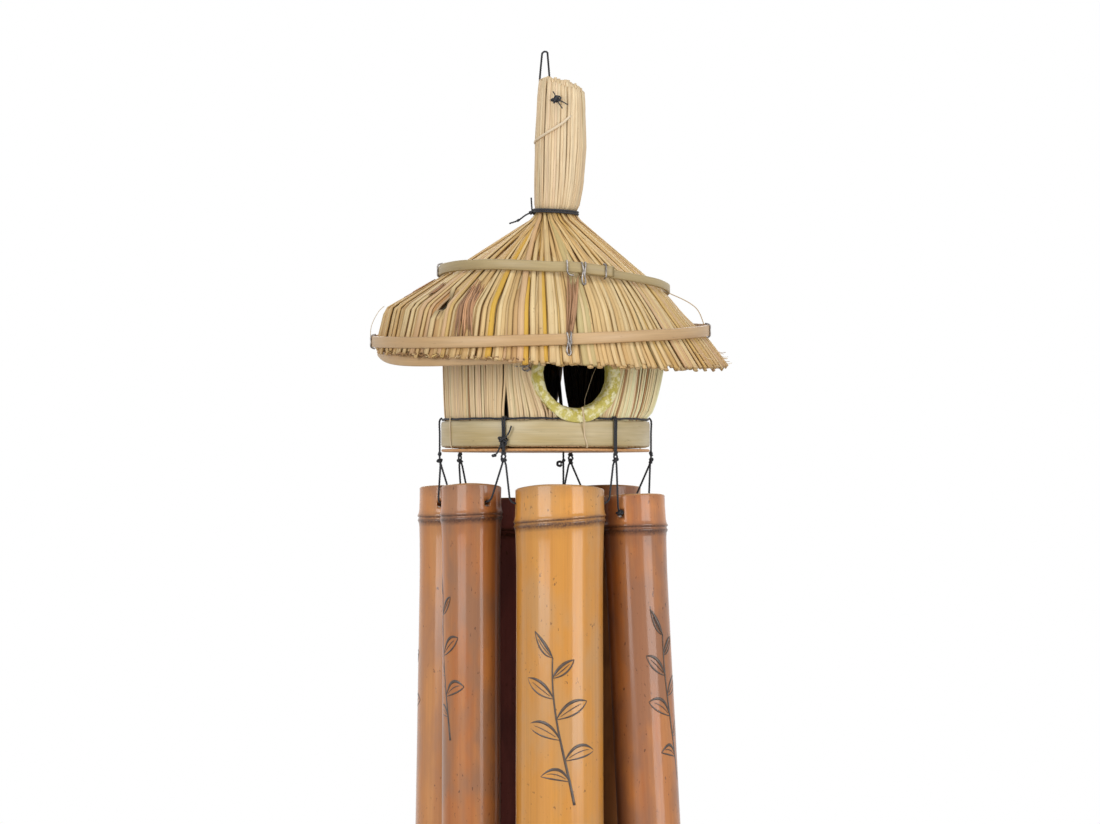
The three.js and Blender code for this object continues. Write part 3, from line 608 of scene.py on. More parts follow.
def smooth_line(points, count):
    """A smooth curve through given points."""
    points = np.asarray(points, float)
    padded = np.vstack([2 * points[0] - points[1], points, 2 * points[-1] - points[-2]])
    line = []
    for a, b, c, d in zip(padded, padded[1:], padded[2:], padded[3:]):
        for t in np.linspace(0, 1, 9)[:-1]:
            bend = (2 * a - 5 * b + 4 * c - d) * t**2 + (3 * b - a - 3 * c + d) * t**3
            line.append(0.5 * (2 * b + (c - a) * t + bend))
    return resample([*line, points[-1]], count)


def frames(points, outs=None):
    """Direction, sideways and outward unit vectors along a line."""
    tangent = unit(np.gradient(points, axis=0))
    if outs is None:
        outs = np.zeros_like(points)
        last = np.array([0.0, 0.0, 1.0]) if abs(tangent[0][2]) < 0.9 else np.array([1.0, 0.0, 0.0])
        for i, t in enumerate(tangent):
            last = unit(last - t * np.dot(last, t))
            outs[i] = last
    side = unit(np.cross(tangent, outs))
    return tangent, side, np.cross(side, tangent)


def grid_faces(rows, columns, ends, flip=False):
    """Faces between rings of points, whose first and last ring get caps or join ("caps" or "ring")."""
    faces = []
    for row in range(rows - 1 if ends == "caps" else rows):
        first, second = row * columns, (row + 1) % rows * columns
        for c in range(columns):
            d = (c + 1) % columns
            faces.append([first + c, first + d, second + d, second + c])
    if ends == "caps":
        faces += [list(range(columns))[::-1], list(range((rows - 1) * columns, rows * columns))]
    return [face[::-1] for face in faces] if flip else faces


def sweep(points, side, out, across, up):
    """Rings round a line from the offsets of each ring's points."""
    return points[:, None] + side[:, None] * across[..., None] + out[:, None] * up[..., None]


# Power per channel that turns painted shade on a straw (along its sides, and where it lies buried) brown
SHADE_WARMTH = np.array([1.0, 1.2, 1.6])
EDGE_FALL = 0.7

# A straw's open end: the hole's share of its width, the tone of its rim, and painted shade at the bottom of
# the hole
HOLLOW_SHARE = 0.6
HOLLOW_RIM = 1.05
HOLLOW_BOTTOM_SHADE = 0.22


def add_strand(bodies, points, outs, width, height, sides, tone, start, hollow=0.0, edge=1.0):
    """A long body with an oval section; start places its grain, hollow is the depth of an open end,
    edge dims its sides as painted shade where straws meet."""
    points = np.asarray(points, float)
    tangent, side, out = frames(points, outs)
    around = turns(sides)
    across = np.outer(np.broadcast_to(width, len(points)), np.cos(around))
    up = np.outer(np.broadcast_to(height, len(points)), np.sin(around))
    rings = sweep(points, side, out, across, up)
    grain = np.stack([across, up, np.broadcast_to(along(points)[:, None], up.shape)], axis=2) + start
    # Painted shade along the straw's sides, where it meets its neighbours
    shade = (edge + (1 - edge) * np.abs(np.sin(around))[:, None] ** EDGE_FALL) ** SHADE_WARMTH
    tones = np.broadcast_to(np.asarray(tone, float) * shade, rings.shape)
    if hollow:
        rim = points[-1] + (rings[-1] - points[-1]) * HOLLOW_SHARE
        rings = np.concatenate([rings, [rim, rim - tangent[-1] * hollow]])
        grain = np.concatenate([grain, grain[-1:], grain[-1:]])
        tones = np.concatenate([tones, tones[-1:] * HOLLOW_RIM, tones[-1:] * HOLLOW_BOTTOM_SHADE])
    bodies.add(rings, grid_faces(len(rings), sides, "caps"), grain, tones.reshape(-1, 3))


def add_cord(bodies, points, radius=CORD):
    """A laid cord: three strands wound round each other, so its lobed section turns along the length."""
    length = along(np.asarray(points, float))[-1]
    points = resample(points, max(int(length / CORD_STEP), 8))
    _, side, out = frames(points)
    distance = along(points)[:, None]
    around = turns(CORD_SIDES)
    wound = around - TURN * distance / CORD_LAY
    size = radius * (CORD_CORE + CORD_LOBE * np.cos(CORD_STRANDS * wound))
    rings = sweep(points, side, out, size * np.cos(around), size * np.sin(around))
    grain = np.stack([np.cos(wound), np.sin(wound), np.broadcast_to(distance, wound.shape)], axis=2)
    bodies.add(rings, grid_faces(len(points), CORD_SIDES, "caps"), grain)


def add_knot(bodies, centre, size, turn=0.0, radius=CORD):
    """An overhand knot drawn tight: a trefoil left open at one end."""
    scale = (size - 0.8 * radius) / 3
    t = np.linspace(0, KNOT_TURN * TURN, 60)
    reach = scale * (2 + np.cos(3 * t))
    x, z = reach * np.cos(2 * t), KNOT_DEPTH * scale * np.sin(3 * t)
    c, s = math.cos(math.radians(turn)), math.sin(math.radians(turn))
    line = np.stack([x * c - z * s, reach * np.sin(2 * t), x * s + z * c], axis=1)
    add_cord(bodies, line + centre, radius * KNOT_CORD)


# Camera


def view_axes():
    """The camera's right, and the direction from the chime to the camera."""
    a, e = math.radians(VIEW_AZIMUTH), math.radians(VIEW_ELEVATION)
    right = np.array([math.cos(a), math.sin(a), 0.0])
    return right, np.array([math.sin(a) * math.cos(e), -math.cos(a) * math.cos(e), math.sin(e)])


def make_camera():
    right, back = view_axes()
    target = right * VIEW_RIGHT_OF_AXIS + [0, 0, VIEW_LEVEL]
    camera = bpy.data.objects.new("camera", bpy.data.cameras.new("camera"))
    bpy.context.scene.collection.objects.link(camera)
    camera.location = Vector(target + back * VIEW_DISTANCE) * MM
    camera.rotation_euler = Vector(-back).to_track_quat("-Z", "Y").to_euler()
    camera.data.sensor_width = SENSOR
    camera.data.lens = SENSOR * VIEW_DISTANCE / VIEW_WIDTH
    bpy.context.scene.camera = camera


make_camera()


# Cords


def hitch_angle(number):
    return HITCH_ANGLES[number % 6] + 360 * (number // 6)


def tube_angle(number):
    return (hitch_angle(number) + hitch_angle(number + 1)) / 2


def half_spread(number):
    return math.radians(hitch_angle(number + 1) - hitch_angle(number)) / 2


def tube_matrix(number):
    """From a tube's own frame, X along its cord and Y outwards, to the model's frame, in metres."""
    angle = tube_angle(number)
    origin = ring_point(KNOT_RING * math.cos(half_spread(number)), angle, KNOT - TUBES[number][2])
    return Matrix.Translation(origin * MM) @ Matrix.Rotation(math.radians(angle) + math.pi, 4, "Z")


def from_tube(number, points):
    matrix = tube_matrix(number)
    return np.array([np.array(matrix @ Vector(np.asarray(p) * MM)) / MM for p in points])


def cord_piece(name, body, replaces=(), cords=(), knots=()):
    """A piece of black cord: cords as (line, radius), knots as (centre, size, turn, radius)."""
    bodies = Bodies(name)
    for cord in cords:
        add_cord(bodies, *cord)
    for knot in knots:
        add_knot(bodies, *knot)
    return bodies.build(BLACK, body, replaces)


def declare(line, with_pieces):
    line = resample(line, 30) * MM
    float(along(line)[-1])


# Tubes whose cord has a stopper knot at a hole
STOPPED_TUBES = (1,)


def tube_cord(number):
    """A cord from inside one knot, through both holes of a tube, to inside the next knot."""
    name, body = f"tube_cord_{number + 1}", f"sling_{number + 1}"
    radius, _, drop, _, _ = TUBES[number]
    span = KNOT_RING * math.sin(half_spread(number))
    half = np.array(
        [
            (span - 0.4 * CORD_SPREAD, 0, drop - 0.3 * KNOT_RADIUS),
            (span - CORD_SPREAD, 0, drop - KNOT_RADIUS - GAP),
            (radius + CORD_BEND, 0, 0),
        ]
    )
    bend = 1.2 * CORD_BEND
    line = from_tube(number, rounded([*half, *(half * [-1, 1, 1])[::-1]], [1, bend, bend, 1], 6))
    piece = cord_piece(f"{name}.twisted", body, [name], [(line,)])
    stoppers = []
    if number in STOPPED_TUBES:
        place = from_tube(number, [(radius + 1.3, 0, -0.5)])[0]
        stoppers.append(cord_piece(f"{name}.stopper", body, knots=[(place, 2.2, 25)]))
    declare(line, stoppers)


for i in range(6):
    tube_cord(i)

MIDDLE = ring_point(MIDDLE_OFFSET, MIDDLE_ANGLE, 0)


def middle_cord():
    """The striker's cord, with its stop knot, a small slipped loop and the knot on the floor."""

    def at(level):
        return MIDDLE + [0, 0, level]

    line = np.linspace(at(FLOOR_TOP), at(SAIL_PIVOT + STOP_KNOT + GAP), 30)
    piece = cord_piece("middle_cord.twisted", "striker", ["middle_cord"], [(line,)])
    stop = at(STRIKER_LEVEL - STRIKER_THICKNESS / 2 - GAP - STOP_KNOT)
    right = view_axes()[0]
    eye = at(FLOOR_BOTTOM - 5.8) - 2.0 * right
    loop = [eye + 1.15 * (right * math.cos(a) + [0, 0, math.sin(a)]) for a in np.linspace(0, 6.1, 24)]
    slip = (at(FLOOR_BOTTOM - 4.4), 1.3, 60)
    pieces = [
        cord_piece("middle_cord.stop_knot", "striker", knots=[(stop, STOP_KNOT)]),
        cord_piece("middle_cord.side_loop", "striker", cords=[(loop, 1.25 * CORD)], knots=[slip]),
    ]
    declare(line, pieces)
    knot = (at(FLOOR_TOP + GAP + STOP_KNOT), STOP_KNOT)
    cord_piece("striker_knot.tied", "striker_pivot", ["striker_knot"], knots=[knot])


def sail_cord():
    """The sail's cord, from its knot down the sail's front and through the hole to a knot behind."""
    front = -SAIL_THICKNESS - CORD
    back = SAIL_THICKNESS + GAP + STOP_KNOT
    edge = SAIL_HOLE + SAIL_HOLE_DEPTH
    corners = [(0, 0, SAIL_PIVOT), (0, front, edge), (0, front, SAIL_HOLE), (0, back, SAIL_HOLE)]
    line = rounded(np.array(corners) + MIDDLE, [2 * CORD] * 2)
    knots = [(line[0], STOP_KNOT), (line[-1], STOP_KNOT, 90)]
    cord_piece("sail_cord.twisted", "sail", ["sail_cord"], [(line,)], knots)


middle_cord()
sail_cord()

# Loose ends of the loop's knot
LOOP_TAILS = [
    [(3, -0.6, -1), (6.4, 0.2, -2.6)],
    [(1.6, -0.8, -2.4), (3.4, -0.2, -4.6)],
    [(-0.8, -0.6, 2.4), (-1.6, 0, 4)],
]


def hanging_loop():
    """A loop through the handle's hole, drawn straight up to the hook, its ends knotted in front."""
    lean = ring_point(NECK_OFFSET + HANDLE_LEAN, LEAN_ANGLE, 0)
    depth = math.sqrt(HANDLE_BELLY**2 - (LOOP_HOLE_X - lean[0]) ** 2)
    front = lean[1] - depth - GAP - LOOP_KNOT
    back = lean[1] + HANDLE_BELLY + GAP + CORD

    def strand(side):
        x = LOOP_HOLE_X + side * LOOP_SPACING / 2
        top = (LOOP_TOP_X + side * LOOP_SPREAD / 2, back, HANDLE_TOP)
        return [(x, front, LOOP_HOLE), (x, back, LOOP_HOLE), top]

    fall = LOOP_CROWN * unit(np.array([0, back, HANDLE_TOP - CORD]))
    arch = np.radians(np.linspace(-90, 90, 13))
    crown = [fall * (1 - math.cos(a)) + [LOOP_CROWN * math.sin(a), 0, CORD] for a in arch]
    corners = [*strand(-1), *crown, *strand(1)[::-1]]
    line = rounded(corners, [CORD_BEND] * (len(corners) - 2))
    piece = cord_piece("hanging_loop.twisted", "hanger", ["hanging_loop"], [(line,)])
    place = np.array([LOOP_HOLE_X - 1.0, front, LOOP_HOLE])
    tails = [(smooth_line([place, *(place + tail)], 12), 0.6 * CORD) for tail in LOOP_TAILS]
    knots = [(place, LOOP_KNOT, 30), (place + [0.6, 0.4, 0.2], 0.7 * LOOP_KNOT, 110)]
    declare(line, [cord_piece("hanging_loop.knot", "hanger", (), tails, knots)])


hanging_loop()


def neck_tie():
    """Tight turns round the neck, a little higher on the lean's far side, with a knot and two tails."""
    radius = NECK_RADIUS + GAP + CORD
    centre = ring_point(NECK_OFFSET, LEAN_ANGLE, 0)
    bottom = NECK - 0.8
    rise = TIE_TURNS * TIE_PITCH
    top = bottom + rise
    tail = FOLD_ANGLE

    def at(out, angle, z):
        return ring_point(radius + out, angle, z - TIE_SLANT * radius * towards_lean(angle)) + centre

    shares = np.linspace(0, 1, 24 * TIE_TURNS + 1)
    coil = [at(0, tail + 360 * TIE_TURNS * share, top - rise * share) for share in shares]
    knot = at(0.7, tail, bottom + 0.8)
    up = [knot, at(1.0, tail, top + 2), at(1.3, tail + 4, top + 6.2)]
    out = [knot, at(4, tail, bottom - 0.6), at(8, tail - 1, bottom - 3.4), at(12.6, tail - 2, bottom - 5)]
    cords = [(smooth_line(coil, 500),), *((smooth_line(line, 20), TAIL_CORD) for line in (up, out))]
    knots = [(knot, 2.0, 20), (out[2], 1.1, 40, TAIL_CORD)]
    cord_piece("neck_tie.twisted", "house", ["neck_tie"], cords, knots)


def lashing():
    """The cord along the band's top edge, caught down a little between the straws."""
    line = []
    for angle in HITCH_ANGLES[0] + np.linspace(0, 360, 241):
        a = math.radians(angle)
        wave = 0.08 * math.sin(34 * a) + 0.1 * math.sin(11 * a)
        line.append(ring_point(WALL_RADIUS + GAP + CORD, angle, LASHING + wave))
    cord_piece("lashing.twisted", "house", ["lashing"], [(line,)])


neck_tie()
lashing()

# The hitch that was pulled tight by hand, with two big knots and two tails
PULLED_HITCH = 0


def hitch(number):
    """Two strands over the band, a knot under the floor, a small eye and the knot that the tubes hang on."""
    upper = FLOOR_BOTTOM - 0.8

    def at(out, z, sideways=0.0):
        return ring_point(KNOT_RING + out, HITCH_ANGLES[number], z, sideways)

    cords = []
    for side in (-1, 1):
        strand = [
            at(-1.2, LASHING + CORD + 0.4, side * 0.7),
            at(0.1, LASHING + CORD - 1.4, side * 0.6),
            at(0, BAND_FOOT + BAND_HEIGHT / 2, side * 0.5),
            at(0, BAND_FOOT + 1, side * 0.55),
            at(0, upper, side * 0.5),
            at(0, (upper + KNOT) / 2, side * 1.15),
            at(0, KNOT + 0.4, side * 0.4),
        ]
        cords.append((smooth_line(strand, 60), 0.95 * CORD))
    knots = [(at(0, upper), 1.5, number * 53), (at(0, KNOT), KNOT_RADIUS, number * 37)]
    if number == PULLED_HITCH:
        ball = at(0.6, KNOT + 2.2, -5.0)
        knots += [(at(0.9, BAND_FOOT + 2.6), 2.9, 0), (at(0.9, BAND_FOOT - 0.4), 2.9, 70), (ball, 1.4, 15)]
        down = [at(1.4, BAND_FOOT - 0.4, -1), at(1, KNOT + 3.6, -3), ball]
        up = [at(1.4, BAND_FOOT + 2.6, 1), at(1, BAND_FOOT + 6, 3.4), at(0.6, BAND_FOOT + 9.4, 4.6)]
        cords += [(smooth_line(line, 16), TAIL_CORD) for line in (down, up)]
    cord_piece(f"hitch_{number + 1}.tied", "house", [f"hitch_{number + 1}"], cords, knots)


for i in range(6):
    hitch(i)


# Straw work


def straw_tone(dice, dim=1.0, bleached=0.0):
    colour = np.array(dice.choice(TONES))
    colour = colour + (np.array(BLEACHED_STRAW) - colour) * bleached
    return np.minimum(colour * dice.uniform(0.93, 1.05) * dim, PALEST)


def weathered_tone(dice, share, darkest, dim, bleached=0.0):
    """A straw's tone, for a share of the straws a weathered brown instead."""
    if dice.random() < share:
        return np.array(WEATHERED_STRAW) * dice.uniform(darkest, 1.4)
    return straw_tone(dice, dim, bleached)


def grain_start(dice):
    return [dice.uniform(0, 400) for _ in range(3)]


def spread_rank(number, total):
    """A place in an order in which the first straws are always spread evenly round."""
    bits = max(total - 1, 1).bit_length()
    return int(format(number, f"0{bits}b")[::-1], 2) / 2**bits


ROOF_STRAWS = 204
ROOF_SHARES = (0.0, 0.03, 0.5, 0.76, 0.9, 1.0)

# Rounding at the collar, upper hoop, shoulder and lower hoop, and how much sharper the shoulder is folded
ROOF_ROUNDS = np.array([1.5, 8, 5, 4])
FOLD_SHARPER = np.array([0, 0, 3.5, 0])

# Layers of the thatch: depth below the surface, dimming (painted shade on the deeper layers), how far its
# ends stay behind
THATCH = {
    "thatch_outer": (0.0, 1.0, 0.0),
    "thatch_middle": (0.75, 0.93, 0.5),
    "thatch_inner": (2.5, 0.85, 1.5),
}
BACKING_DEPTHS = (2.1, 2.4)
BACKING_SHADE = 0.9
BACKING_SHORTER = 4

# Broad blades among the outer straws, how deep a straw lies where there is no room for it, and the depth down
# to which such a buried straw gets darker as painted shade
BROAD_SHARE = 0.2
DEEPEST = 3.4
DEEPEST_SHADED = 2.5

# Where the straws are trimmed shorter, the notch at the fold, and where two straws part over a gap, the
# straws sunk in it painted dark as shade
TRIM_ANGLE = -62
TRIM = 2.2
NOTCH = 2.6
NOTCH_WIDTH = 9
SPLIT_ANGLE = -58.2
SPLIT_DEPTH = 4.6
SPLIT_SHADE = 0.94
GOLDEN_ANGLES = (-35.5, -23.3, -16.5, 96, 171)

# Painted shade that darkens the straws towards the neck, where they pack tightly, and how their colour
# changes at their ends
NECK_SHADE = np.array([1.0, 0.95, 0.86])
EAVE_TINT = np.array([0.97, 0.91, 0.86])


def sunk_line(line, depths):
    """A (radius, z) line moved into the thatch, and the directions it moves in."""
    slope = unit(np.gradient(line, axis=0))
    inward = np.stack([slope[:, 1], -slope[:, 0]], axis=1)
    inward[0] = (-1, 0)
    return line + inward * np.asarray(depths)[:, None], inward


def roof_path(angle, drift, lengthen, depth, steps=26, cross=0.0):
    """Points, outward directions and shares of a roof straw that lies at a depth in the thatch."""
    line = [straw_line(angle + drift * share, lengthen)[k] for k, share in enumerate(ROOF_SHARES)]
    rounds = ROOF_ROUNDS - FOLD_SHARPER * facing(angle, FOLD_ANGLE) ** 2
    flat = resample(rounded(line, rounds, 5), steps)
    share = along(flat) / along(flat)[-1]
    sunk, inward = sunk_line(flat, [depth(s, r) for s, r in zip(share, flat[:, 0])])
    angles = angle + drift * share + cross * (1 - share) ** 4
    points = np.array([ring_point(r, a, z) for (r, z), a in zip(sunk, angles)])
    outs = np.array([ring_point(-r, a, -z) for (r, z), a in zip(inward, angles)])
    return points, outs, share


def wander(number, seed, reach):
    """A smooth scatter along neighbouring straws."""
    return reach * noise.noise(Vector((number * 0.13, seed, 0.5)))


def roof_split(angle, share):
    """How far a straw sinks into the gap in the thatch."""
    near = 1 - smoothstep(1.9, 2.4, abs(angle_from(angle, SPLIT_ANGLE)))
    return near * smoothstep(0.65, 0.7, share) * (1 - smoothstep(0.77, 0.82, share))


# Painted shade towards the neck, times the straws' own change of colour at their ends
def neck_shade_and_eave_tint(share):
    neck = NECK_SHADE + (1 - NECK_SHADE) * smoothstep(0.3, 0.55, share)
    return neck * (1 + (EAVE_TINT - 1) * smoothstep(0.84, 0.95, share))


def straw_width(share):
    """A roof straw's width along its length, as a share of its full width."""
    return 0.58 + 0.42 * share


def roof_straw(bodies, layer, number, dice, crossing, base, dim, shorter):
    """One straw: where it lies, how deep its neighbours bury it, and the painted shade that darkens it where
    it lies buried, in the split and towards the neck.
    """
    angle = 360 * (number + dice.uniform(-0.2, 0.2) + 0.5 * layer) / ROOF_STRAWS
    ruffled = facing(angle, FOLD_ANGLE) ** 2
    drift = wander(number, layer, 7.0) + dice.uniform(-0.6, 0.6) * (1 + 3 * ruffled)
    broad = layer == 0 and dice.random() < BROAD_SHARE
    rank = spread_rank(number, ROOF_STRAWS) * (0.3 if broad else 1)
    half = dice.uniform(1.8, 2.3) if broad else dice.uniform(1.2, 1.65)
    flat = 0.3 if broad else 0.44
    lift = 0.0 if broad else dice.uniform(0.1, 0.45 + 0.5 * ruffled)

    def buried(share, radius):
        room = (0.8 + 0.18 * share) * math.pi * radius / (half * straw_width(share)) / ROOF_STRAWS
        return min(max(0.0, rank - room) * 6, DEEPEST)

    def split(share):
        return roof_split(angle + drift * share, share)

    def depth(share, radius):
        return flat * half + lift + base + buried(share, radius) + SPLIT_DEPTH * split(share)

    def shadow(share, radius):
        dark = min(buried(share, radius), DEEPEST_SHADED) * (0.19 - 0.08 * smoothstep(0.3, 0.5, share))
        return (1 - SPLIT_SHADE * split(share)) * (1 - dark) ** SHADE_WARMTH * neck_shade_and_eave_tint(share)

    trimmed = TRIM * facing(angle, TRIM_ANGLE) ** 2
    notch = NOTCH * bell(angle_from(angle, FOLD_ANGLE), NOTCH_WIDTH)
    behind = shorter * (1 + 4 * ruffled - facing(angle, LEAN_ANGLE))
    shortest = 0.8 - EAVE_DROP - EAVE_DROP_SIDE * towards_lean(angle)
    lengthen = max(dice.gauss(0, 0.6) - 0.3 - behind - trimmed - notch, shortest)
    points, outs, shares = roof_path(angle, drift, lengthen, depth, cross=crossing.uniform(-9, 9))
    radii = np.hypot(points[:, 0], points[:, 1])
    golden = layer == 0 and min(abs(angle_from(angle + 0.8 * drift, g)) for g in GOLDEN_ANGLES) < 1.0
    tone = np.array(GOLDEN_STRAW) if golden else straw_tone(dice, dim)
    tone = tone * np.array([shadow(s, r) for s, r in zip(shares, radii)])[:, None]
    width = half * straw_width(shares)
    add_strand(bodies, points, outs, width, flat * width, 8, tone, grain_start(dice), hollow=2.5, edge=0.52)


def thatch():
    """The roof's layers of straw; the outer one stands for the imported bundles."""
    for layer, (name, settings) in enumerate(THATCH.items()):
        bodies = Bodies(name)
        dice, crossing = random.Random(31 + layer), random.Random(131 + layer)
        for number in range(ROOF_STRAWS):
            roof_straw(bodies, layer, number, dice, crossing, *settings)
        bundles = [f"roof_bundle_{i}" for i in range(1, 11)]
        bodies.build(STRAW, "house", bundles if layer == 0 else ())


CHAFF_BITS = 150
CHAFF_ANGLES = (-84, -22)


def chaff():
    """Broken bits of straw along the trimmed side of the eave."""
    bodies = Bodies("eave_chaff")
    dice = random.Random(71)
    for _ in range(CHAFF_BITS):
        angle = dice.uniform(*CHAFF_ANGLES)
        radius, z = straw_line(angle, -TRIM)[-1]
        start = ring_point(radius - dice.uniform(0.3, 3), angle, z + dice.uniform(-0.3, 1.4))
        swing = dice.choice((-1, 1)) * dice.uniform(0.6, 3.2)
        end = ring_point(radius - dice.uniform(-0.4, 2.4), angle, z + dice.uniform(-1.2, 0.5), swing)
        middle = (start + end) / 2 + [0, 0, dice.uniform(-0.4, 0.5)]
        tone = weathered_tone(dice, 0.6, 0.7, 0.9)
        line = smooth_line([start, middle, end], 6)
        half = dice.uniform(0.2, 0.5)
        add_strand(bodies, line, level_outs(line), half, 0.6 * half, 6, tone, grain_start(dice), edge=0.7)
    bodies.build(STRAW, "house")


def thatch_backing():
    """A thin layer of chaff between the two layers of straw, painted dark as shade where the straws part."""
    bodies = Bodies("thatch_backing")
    columns, rows = 288, 26

    def path(angle, depth):
        def sunk(share, _):
            return depth + 2 * SPLIT_DEPTH * roof_split(angle, share)

        points, _, shares = roof_path(angle, 0, -BACKING_SHORTER, sunk, rows)
        return np.column_stack([points, [1 - BACKING_SHADE * roof_split(angle, s) for s in shares]])

    def sheet(depth):
        return np.array([path(360 * c / columns, depth) for c in range(columns)]).transpose(1, 0, 2)

    outer, inner = (sheet(depth) for depth in BACKING_DEPTHS)
    both = np.concatenate([outer, inner[::-1]]).reshape(-1, 4)
    points, shade = both[:, :3], both[:, 3:]
    bodies.add(points, grid_faces(2 * rows, columns, "ring"), points * 2.0, shade * BACKING_STRAW)
    bodies.build(STRAW, "house")


thatch()
chaff()
thatch_backing()

# Dry leaf sheaths on the thatch: angle and drift, start and end along the straw, width at both
SHEATHS = [
    (-54.8, 10.3, 0.56, 0.95, 3.4, 12.0),
    (-46.0, 2.0, 0.60, 0.86, 2.0, 4.0),
    (3.1, -13.6, 0.50, 0.97, 6.0, 2.2),
    (-91.0, 2.0, 0.52, 0.72, 2.5, 3.5),
    (-70.0, 1.0, 0.58, 0.72, 2.0, 2.6),
    (118.0, 2.0, 0.50, 0.85, 3.0, 4.0),
    (162.0, 0.0, 0.35, 0.70, 3.0, 3.0),
    (205.0, -3.0, 0.55, 0.92, 3.0, 5.0),
    (248.0, 0.0, 0.40, 0.72, 2.6, 2.6),
]


def sheaths():
    """Torn leaf sheaths: loose fibres of uneven length that lie close together on the straws."""
    bodies = Bodies("leaf_sheaths")
    dice = random.Random(5)
    for angle, drift, start, end, first_width, last_width in SHEATHS:
        for _ in range(max(6, round(3 * max(first_width, last_width)))):
            across = dice.uniform(-0.5, 0.5)
            lift = dice.uniform(-0.5, 0.3)
            points, outs, share = roof_path(angle, drift, -1.5, lambda s, r: lift, 70)
            first = start + (end - start) * dice.uniform(0, 0.35)
            last = end - (end - start) * dice.uniform(0, 0.4)
            keep = (share >= first) & (share <= last)
            points, outs = points[keep], outs[keep]
            t = (share[keep] - start) / (end - start)
            side = unit(np.cross(np.gradient(points, axis=0), outs))
            curl = 0.5 * np.sin(5 * t + dice.uniform(0, 6))
            spread = first_width + (last_width - first_width) * t
            line = points + side * (across * spread + curl)[:, None]
            taper = np.sin(math.pi * np.linspace(0.1, 0.95, len(line)))
            half = dice.uniform(0.3, 0.65) * np.clip(taper, 0.2, 1)
            tone = np.array(SHEATH_COLOUR) * dice.uniform(0.45, 1.25)
            add_strand(bodies, line, outs, half, 0.2, 6, tone, grain_start(dice), edge=0.6)
    bodies.build(STRAW, "house")


sheaths()

# The handle: radius and distance of its middle from the axis, at shares of its height
HANDLE_RINGS = 9
HANDLE_OUTER_STRAWS = 54
HANDLE_SHARES = (0, 0.025, 0.05, 0.24, 0.54, 0.9, 1.0)
HANDLE_RADII = (10.2, 10.4, 11.6, 12.85, 13.4, 12.4, 11.7)
HANDLE_CENTRES = (5.4, 5.6, 5.9, 7.05, 7.8, 8.4, 8.5)

# A loose straw across its front: distance beyond the belly, angle and level
LOOSE_STRAW = [(0.5, -112, -46.5), (0.9, -80, -45.4), (0.9, -45, -42), (0.7, -14, -37.5), (-0.6, 8, -33.5)]


def handle_straw(bodies, dice, reach, angle):
    """A straw of the handle; reach is its ring's distance from the middle, as a share."""
    half = dice.uniform(0.78, 1.05)
    slope = math.tan(math.radians(HANDLE_TOP_SLOPE))
    across = HANDLE_TOP_RADIUS * (1 + reach * towards_lean(angle))
    domed = 1.3 - 2.4 * reach**8
    top = HANDLE_TOP - across * slope + domed + dice.gauss(0, 0.45)
    twist = dice.uniform(-5, 5)
    wave = dice.uniform(0, 6)
    points, outs = [], []
    for share in np.linspace(0, 1, 16):
        radius = (np.interp(share, HANDLE_SHARES, HANDLE_RADII) - 0.7 * half) * reach
        offset = np.interp(share, HANDLE_SHARES, HANDLE_CENTRES)
        centre = ring_point(offset, LEAN_ANGLE, NECK + share * (top - NECK))
        outs.append(ring_point(1, angle + twist * share, 0))
        points.append(centre + outs[-1] * (radius + 0.25 * reach * math.sin(6 * share + wave)))
    width = half * np.linspace(0.84, 1.0, len(points))
    tone = straw_tone(dice, 1.06, 0.6)
    start = grain_start(dice)
    add_strand(bodies, points, np.array(outs), width, 0.6 * width, 8, tone, start, hollow=2.0, edge=0.78)


def handle():
    """Rings of straws from the tie to the slanted top, and one loose straw across the front."""
    bodies = Bodies("handle_straws")
    dice = random.Random(23)
    places = []
    for ring in range(HANDLE_RINGS):
        reach = 1 - ring / HANDLE_RINGS
        count = round(HANDLE_OUTER_STRAWS * reach)
        places += [(reach, 360 * (k + 0.5 * ring + dice.uniform(-0.25, 0.25)) / count) for k in range(count)]
    for reach, angle in places:
        handle_straw(bodies, dice, reach, angle)
    centre = ring_point(HANDLE_CENTRES[4], LEAN_ANGLE, 0)
    loose = [ring_point(HANDLE_BELLY + out, angle, z) + centre for out, angle, z in LOOSE_STRAW]
    line = smooth_line(loose, 24)
    add_strand(bodies, line, level_outs(line - centre), 0.68, 0.4, 8, BLEACHED_STRAW, grain_start(dice))
    bodies.build(STRAW, "house", ["straw_handle"])


handle()

WALL_STRAWS = 232
WALL_GAP_ANGLE = HITCH_ANGLES[0]
WALL_GAP = 1.5
WALL_GAP_REACH = 9
WALL_GAP_HEIGHT = 22
REAR_SLIT_REACH = 14
REAR_SLIT_SHARE = 0.6
RING_SEAT = RING_OUTER - 0.6
RING_LED = RING_SEAT + 12
RING_LEAST = 0.62 * RING_SEAT


def underside(angle):
    """Radii and levels of the thatch's underside, from the neck to the eave."""
    line = straw_line(angle)
    return sunk_line(line, np.linspace(*UNDERSIDE_DEPTHS, len(line)))[0].T


